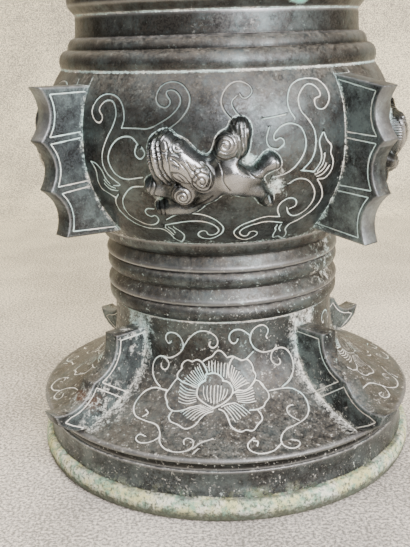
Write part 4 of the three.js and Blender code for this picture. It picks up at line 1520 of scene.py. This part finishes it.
def make_camera():
    """The camera at the photograph's place, height, tilt and roll."""
    out, back = camera_distance * math.sin(camera_turn), -camera_distance * math.cos(camera_turn)
    place = Vector((out, back, camera_height)) * mm
    heading = camera_yaw - camera_turn
    forward = Vector((
        math.sin(heading) * math.cos(camera_pitch), math.cos(heading) * math.cos(camera_pitch),
        -math.sin(camera_pitch)))
    right = Vector((math.cos(heading), -math.sin(heading), 0))
    up = right.cross(forward)
    rolled_right = right * math.cos(camera_roll) + up * math.sin(camera_roll)
    rolled_up = up * math.cos(camera_roll) - right * math.sin(camera_roll)
    lens = bpy.data.cameras.new("camera")
    lens.lens = focal_length
    lens.sensor_width = sensor_size
    camera = bpy.data.objects.new("camera", lens)
    camera.matrix_world = Matrix([*zip(rolled_right, rolled_up, -forward, place), (0, 0, 0, 1)])
    bpy.context.scene.collection.objects.link(camera)
    bpy.context.scene.camera = camera


def make_floor():
    """A plain pale floor that sweeps up into a backdrop."""
    bend = quarter_round(0, floor_bend, 0, floor_bend, 16)
    profile = [
        (floor_front, 0.0),
        *[(floor_back + y, z) for y, z in bend],
        (floor_back + floor_bend, backdrop_top),
    ]
    points = [(x, y, z) for y, z in profile for x in (-floor_half_width, floor_half_width)]
    faces = [(2 * i, 2 * i + 1, 2 * i + 3, 2 * i + 2) for i in range(len(profile) - 1)]
    mesh = bpy.data.meshes.new("floor")
    mesh.from_pydata(points, [], faces)
    mesh.shade_smooth()
    mesh.materials.append(felted_cloth())
    floor = bpy.data.objects.new("floor", mesh)
    bpy.context.scene.collection.objects.link(floor)


def make_surroundings():
    """Even light from all sides."""
    stage = bpy.context.scene.vase_stage
    world = bpy.data.worlds.new("studio")
    world.use_nodes = True
    surround = world.node_tree.nodes["Background"]
    surround.inputs["Color"].default_value = stage.sky_colour
    surround.inputs["Strength"].default_value = stage.sky_strength
    bpy.context.scene.world = world


class StageOperator(bpy.types.Operator):
    """Sets up the camera, the floor and the soft lights"""

    bl_idname = "vase.stage"
    bl_label = "Stage"

    def execute(self, context):
        stage = context.scene.vase_stage
        make_camera()
        make_floor()
        soft_light("front_window", stage.key_power, *window_light)
        soft_light("overhead_light", stage.overhead_power, *overhead_light)
        soft_light("backdrop_light", stage.backdrop_power, *backdrop_light)
        soft_light("side_window", stage.side_power, *side_light)
        make_surroundings()
        return {"FINISHED"}


class FootBaseOperator(bpy.types.Operator):
    """Makes the moulded base ring with its crusted rim"""

    bl_idname = "vase.foot_base"
    bl_label = "Foot base ring"

    def execute(self, context):
        inner = band_radius - base_wall
        spigot = inner + base_spigot_wall
        spigot_top = base_height + base_spigot_height
        hollow = curve(
            lambda share: band_radius - band_hollow * math.sin(math.pi * share), rim_height, base_height, 8)
        outline = [
            *bead(band_radius + rim_proud / 3, 0, rim_height, rim_proud * 2 / 3, 12),
            *hollow,
            (spigot, base_height),
            (spigot, spigot_top),
            (inner, spigot_top),
            (inner, 0),
        ]
        seams = [(band_radius - 0.4, base_height, 0.7)]
        add_turned("foot_base", outline, "crusted_rim", "foot_base_ring", seams)
        return {"FINISHED"}


class FootBellOperator(bpy.types.Operator):
    """Makes the swept bell of the foot, engraved with peonies and vines"""

    bl_idname = "vase.foot_bell"
    bl_label = "Foot bell"

    def execute(self, context):
        sizes = context.scene.vase_sizes
        skirt_bore = band_radius - base_wall + base_spigot_wall + seat_gap
        undercut = band_radius - undercut_depth
        skirt_top = bell_level + base_spigot_height + seat_gap
        lining = curve(
            lambda share: stem_bore + (skirt_bore - stem_bore) * (1 - share) ** cone_sweep,
            skirt_top, bell_top, 24)
        rest = [
            *lining[::-1],
            (skirt_bore, bell_level - seat_gap),
            (undercut, bell_level - seat_gap),
            (undercut, bell_level + undercut_height),
            *bead(band_radius, bell_level + undercut_height, cone_level, bead_proud, 8)[:-1],
        ]
        line_width = sizes.line_width * foot_line_share
        drawn = [(smooth_line(line), line_width) for line in (*foot_vines, *peony_petals)]
        drawn += [(line, sizes.vein_width) for veins in peony_veins for line in hatch(*veins)]
        cuts = [(line - (0, foot_pattern_drop), width / mm / 2) for line, width in drawn]
        root_high = cone_sheet.up[-1] - foot_flange_drop[0]
        stains = seam_lines(cone_sheet, cone_sheet.up[-1:] - seam_inset, cone_sheet.up[0] + 1, root_high)

        def damp(flat):
            return np.exp(-(cone_sheet.flange_gap(flat) / foot_damp_reach) ** 2) * foot_damp

        # The bell's undercut is darkened with painted shade
        add_engraved(
            "engraved_foot_bell", cone_sheet, cuts, stains, rest, "dark_bronze", "foot_bell",
            {"crevice": damp}, [(undercut, bell_level + rise, 1.0) for rise in undercut_shade])
        return {"FINISHED"}


class StemOperator(bpy.types.Operator):
    """Makes the ribbed stem with its cuff, and the floor plate inside it"""

    bl_idname = "vase.stem"
    bl_label = "Stem collar and bottom plate"

    def execute(self, context):
        pitch = rib_underside_height + rib_bevel_height
        ledge = stem_top - bulb_spigot_height - plate_thickness - seat_gap
        outline = [(stem_radius, stem_level - seat_gap)]
        for rib in range(rib_count):
            level = stem_level + rib * pitch
            edge = level + rib_underside_height
            groove = edge - rib_edge_height
            bead_low, bead_high = level + rib_bead_gaps[0], groove - rib_bead_gaps[1]
            outline += [
                (stem_radius, level),
                *bead(stem_radius + rib_bead_out, bead_low, bead_high, rib_proud - rib_bead_sink, 12),
                (stem_radius + rib_proud - rib_groove, groove - rib_groove_spread[0]),
                (stem_radius + rib_proud, groove + rib_groove_spread[1]),
                (stem_radius + rib_proud, edge),
            ]
        cuff_level = stem_level + rib_count * pitch
        outline += [
            *quarter_round(stem_radius, stem_radius + cuff_proud, cuff_level, stem_top),
            (stem_bore, stem_top),
            (stem_bore, ledge),
            (stem_spigot_bore, ledge),
            (stem_spigot_bore, stem_level - stem_spigot_height),
            (stem_spigot_radius, stem_level - stem_spigot_height),
            (stem_spigot_radius, stem_level - seat_gap),
        ]
        seams = [(stem_radius, stem_level, 0.8), (stem_radius + cuff_proud, stem_top, 0.6)]
        add_turned("ribbed_stem", outline, "dark_bronze", "stem_collar", seams)
        low, high = ledge + seat_gap, ledge + seat_gap + plate_thickness
        rim = stem_bore - seat_gap
        plate = [(plate_pinhole, low), (rim, low), (rim, high), (plate_pinhole, high)]
        add_turned("floor_plate", plate, "dark_bronze", "bottom_plate")
        return {"FINISHED"}


class BulbOperator(bpy.types.Operator):
    """Makes the swelling body, engraved with cloud scrolls"""

    bl_idname = "vase.bulb"
    bl_label = "Bulb"

    def execute(self, context):
        spigot = stem_bore - seat_gap
        spigot_bore = spigot - bulb_spigot_wall
        floor = bulb_level + bulb_wall
        lining = [(r - bulb_wall, z) for r, z in bulb_profile(30) if z > floor + 1]
        rest = [
            *lining[::-1],
            (bulb_radius_at(bulb_wall) - bulb_wall, floor),
            (spigot_bore, floor),
            (spigot_bore, bulb_level - bulb_spigot_height),
            (spigot, bulb_level - bulb_spigot_height),
            (spigot, bulb_level - seat_gap),
            (bulb_bottom_radius, bulb_level - seat_gap),
        ]
        low, high = bulb_sheet.up[0], bulb_sheet.up[-1]
        half_width = context.scene.vase_sizes.line_width / mm / 2
        cuts = [(smooth_line(line), half_width) for line in bulb_scrolls]
        seams = (low + seam_inset, high - seam_inset)
        stains = seam_lines(bulb_sheet, seams, low + bulb_root_low, bulb_crown_level + bulb_root_high)
        contour = smooth_line(lion_outline, closed=True, step=0.6)
        stains.append((beside(contour, lion_seam_gap, bulb_sheet.stretch), lion_seam_half_width))

        def damp(flat):
            up = flat[:, 1]
            seam = np.exp(-((up - low) / bulb_seam_damp_reach) ** 2) * bulb_seam_damp
            root = np.exp(-(bulb_sheet.flange_gap(flat) / root_damp_reach) ** 2)
            root *= np.interp(up, *bulb_root_damp)
            return np.maximum.reduce([seam, root, damp_spots(flat, lion_damp)])

        def bare(flat):
            risen = np.clip((flat[:, 1] - bare_level) / bare_rise, 0, 1)
            return risen * np.clip(1.25 - np.abs(flat[:, 0]) / bare_reach, 0, 1) * bare_share

        add_engraved(
            "engraved_bulb", bulb_sheet, cuts, stains, rest, "dark_bronze", "bulb_body",
            {"crevice": damp, "bare": bare})
        return {"FINISHED"}


class ShoulderOperator(bpy.types.Operator):
    """Makes the two stepped rings, the neck band and the neck ring"""

    bl_idname = "vase.shoulder"
    bl_label = "Shoulder collar and neck ring"

    def execute(self, context):
        step = shoulder_level + lower_ring_height
        upper = step + upper_ring_height
        lower_radius = bulb_top_radius + lower_ring_proud
        lower = quarter_round(ring_step_radius, lower_radius, step, shoulder_level + lower_ring_height / 3)
        higher = quarter_round(neck_band_radius, ring_step_radius, upper, step, 6)
        spigot = bulb_top_radius - bulb_wall - seat_gap
        outline = [
            (bulb_top_radius, shoulder_level - seat_gap),
            *lower[::-1],
            *higher[::-1][1:],
            (neck_band_top_radius, shoulder_top),
            (neck_bore, shoulder_top),
            (neck_bore, upper),
            (spigot - shoulder_wall, shoulder_level),
            (spigot - shoulder_wall, shoulder_level - shoulder_spigot_height),
            (spigot, shoulder_level - shoulder_spigot_height),
            (spigot, shoulder_level - seat_gap),
        ]
        seams = [(bulb_top_radius, shoulder_level, 0.9), (neck_band_top_radius, shoulder_top, 0.7)]
        add_turned("ringed_shoulder", outline, "dark_bronze", "shoulder_collar", seams)
        ring_radius = neck_band_top_radius + neck_ring_proud
        round_low = ring_level + (ring_top - ring_level) * 0.7
        socket = ring_top - trumpet_socket_depth
        ring = [
            (neck_band_top_radius, ring_level - seat_gap),
            (ring_radius, ring_level + neck_ring_chamfer),
            *quarter_round(trumpet_bottom_radius, ring_radius, ring_top, round_low)[::-1],
            (trumpet_spigot_radius + seat_gap, ring_top),
            (trumpet_spigot_radius + seat_gap, socket),
            (neck_spigot_bore, socket),
            (neck_spigot_bore, ring_level - neck_ring_spigot_height),
            (neck_spigot_radius, ring_level - neck_ring_spigot_height),
            (neck_spigot_radius, ring_level - seat_gap),
        ]
        seams = [(neck_band_top_radius, ring_level, 0.8), (trumpet_bottom_radius, ring_top, 0.9)]
        add_turned("chamfered_neck_ring", ring, "dark_bronze", "neck_ring", seams)
        return {"FINISHED"}


class TrumpetOperator(bpy.types.Operator):
    """Makes the flared neck with its lip, engraved with plantain leaves"""

    bl_idname = "vase.trumpet"
    bl_label = "Trumpet neck"

    def execute(self, context):
        bore = mouth_radius - trumpet_wall
        wall_top = trumpet_level + trumpet_height
        lip_top = wall_top + lip_height
        lining = curve(
            lambda share: trumpet_bottom_bore + (bore - trumpet_bottom_bore) * share ** trumpet_flare_power,
            trumpet_level, wall_top, 40)
        rest = [
            *bead(mouth_radius, wall_top, lip_top, lip_proud, 12)[1:],
            (bore, lip_top),
            *lining[::-1],
            (trumpet_bottom_bore, trumpet_level - trumpet_socket_depth),
            (trumpet_spigot_radius, trumpet_level - trumpet_socket_depth),
            (trumpet_spigot_radius, trumpet_level - seat_gap),
            (trumpet_bottom_radius, trumpet_level - seat_gap),
        ]
        half_width = context.scene.vase_sizes.line_width / mm / 2
        cuts = [(smooth_line(line, step=0.7), half_width) for line in mirrored(trumpet_leaf)]
        cuts.append((evenly(leaf_rib, 0.7), half_width))
        seams = (trumpet_sheet.up[0] + seam_inset, trumpet_sheet.up[-1] - seam_inset)
        stains = seam_lines(trumpet_sheet, seams, neck_flange_level[0], neck_flange_level[-1] + 1)
        add_engraved("engraved_trumpet", trumpet_sheet, cuts, stains, rest, "dark_bronze", "trumpet_neck")
        return {"FINISHED"}


class FlangesOperator(bpy.types.Operator):
    """Makes the scalloped flanges on the foot, the bulb and the neck"""

    bl_idname = "vase.flanges"
    bl_label = "Flanges"

    def execute(self, context):
        kinds = {"foot": foot_flange_parts, "bulb": bulb_flange_parts, "neck": neck_flange_parts}
        for kind, parts in kinds.items():
            for corner, place in enumerate(corner_names):
                node = f"{kind}_flange_{place}"
                add_flange(f"scalloped_{node}", *parts(place), node, corner)
        return {"FINISHED"}


class LionsOperator(bpy.types.Operator):
    """Makes the lion relief of each panel"""

    bl_idname = "vase.lions"
    bl_label = "Lion reliefs"

    def execute(self, context):
        parts = lion_parts()
        for side, place in enumerate(side_names):
            node = f"lion_relief_{place}"
            add_piece(f"carved_lion_{place}", parts, "relief_bronze", node, side * quarter_turn)
        return {"FINISHED"}


operators = (
    StageOperator, FootBaseOperator, FootBellOperator, StemOperator, BulbOperator, ShoulderOperator,
    TrumpetOperator, FlangesOperator, LionsOperator)


class VasePanel(bpy.types.Panel):
    """Lists the steps that build the vase"""

    bl_idname = "VIEW3D_PT_vase"
    bl_label = "Bronze vase"
    bl_space_type = "VIEW_3D"
    bl_region_type = "UI"
    bl_category = "Vase"

    def draw(self, context):
        for group in (context.scene.vase_sizes, context.scene.vase_colours, context.scene.vase_stage):
            for name in group.__annotations__:
                self.layout.prop(group, name)
        for operator in operators:
            self.layout.operator(operator.bl_idname)


property_groups = {"vase_sizes": VaseSizes, "vase_colours": VaseColours, "vase_stage": VaseStage}
classes = (*property_groups.values(), *operators, VasePanel)


def register():
    for cls in classes:
        bpy.utils.register_class(cls)
    for name, group in property_groups.items():
        setattr(bpy.types.Scene, name, bpy.props.PointerProperty(type=group))


def unregister():
    for name in property_groups:
        delattr(bpy.types.Scene, name)
    for cls in reversed(classes):
        bpy.utils.unregister_class(cls)


def main():
    """Builds the vase and its stage."""
    register()
    bpy.ops.vase.stage()
    bpy.ops.vase.foot_base()
    bpy.ops.vase.foot_bell()
    bpy.ops.vase.stem()
    bpy.ops.vase.bulb()
    bpy.ops.vase.shoulder()
    bpy.ops.vase.trumpet()
    bpy.ops.vase.flanges()
    bpy.ops.vase.lions()


if __name__ == "__main__":
    main()
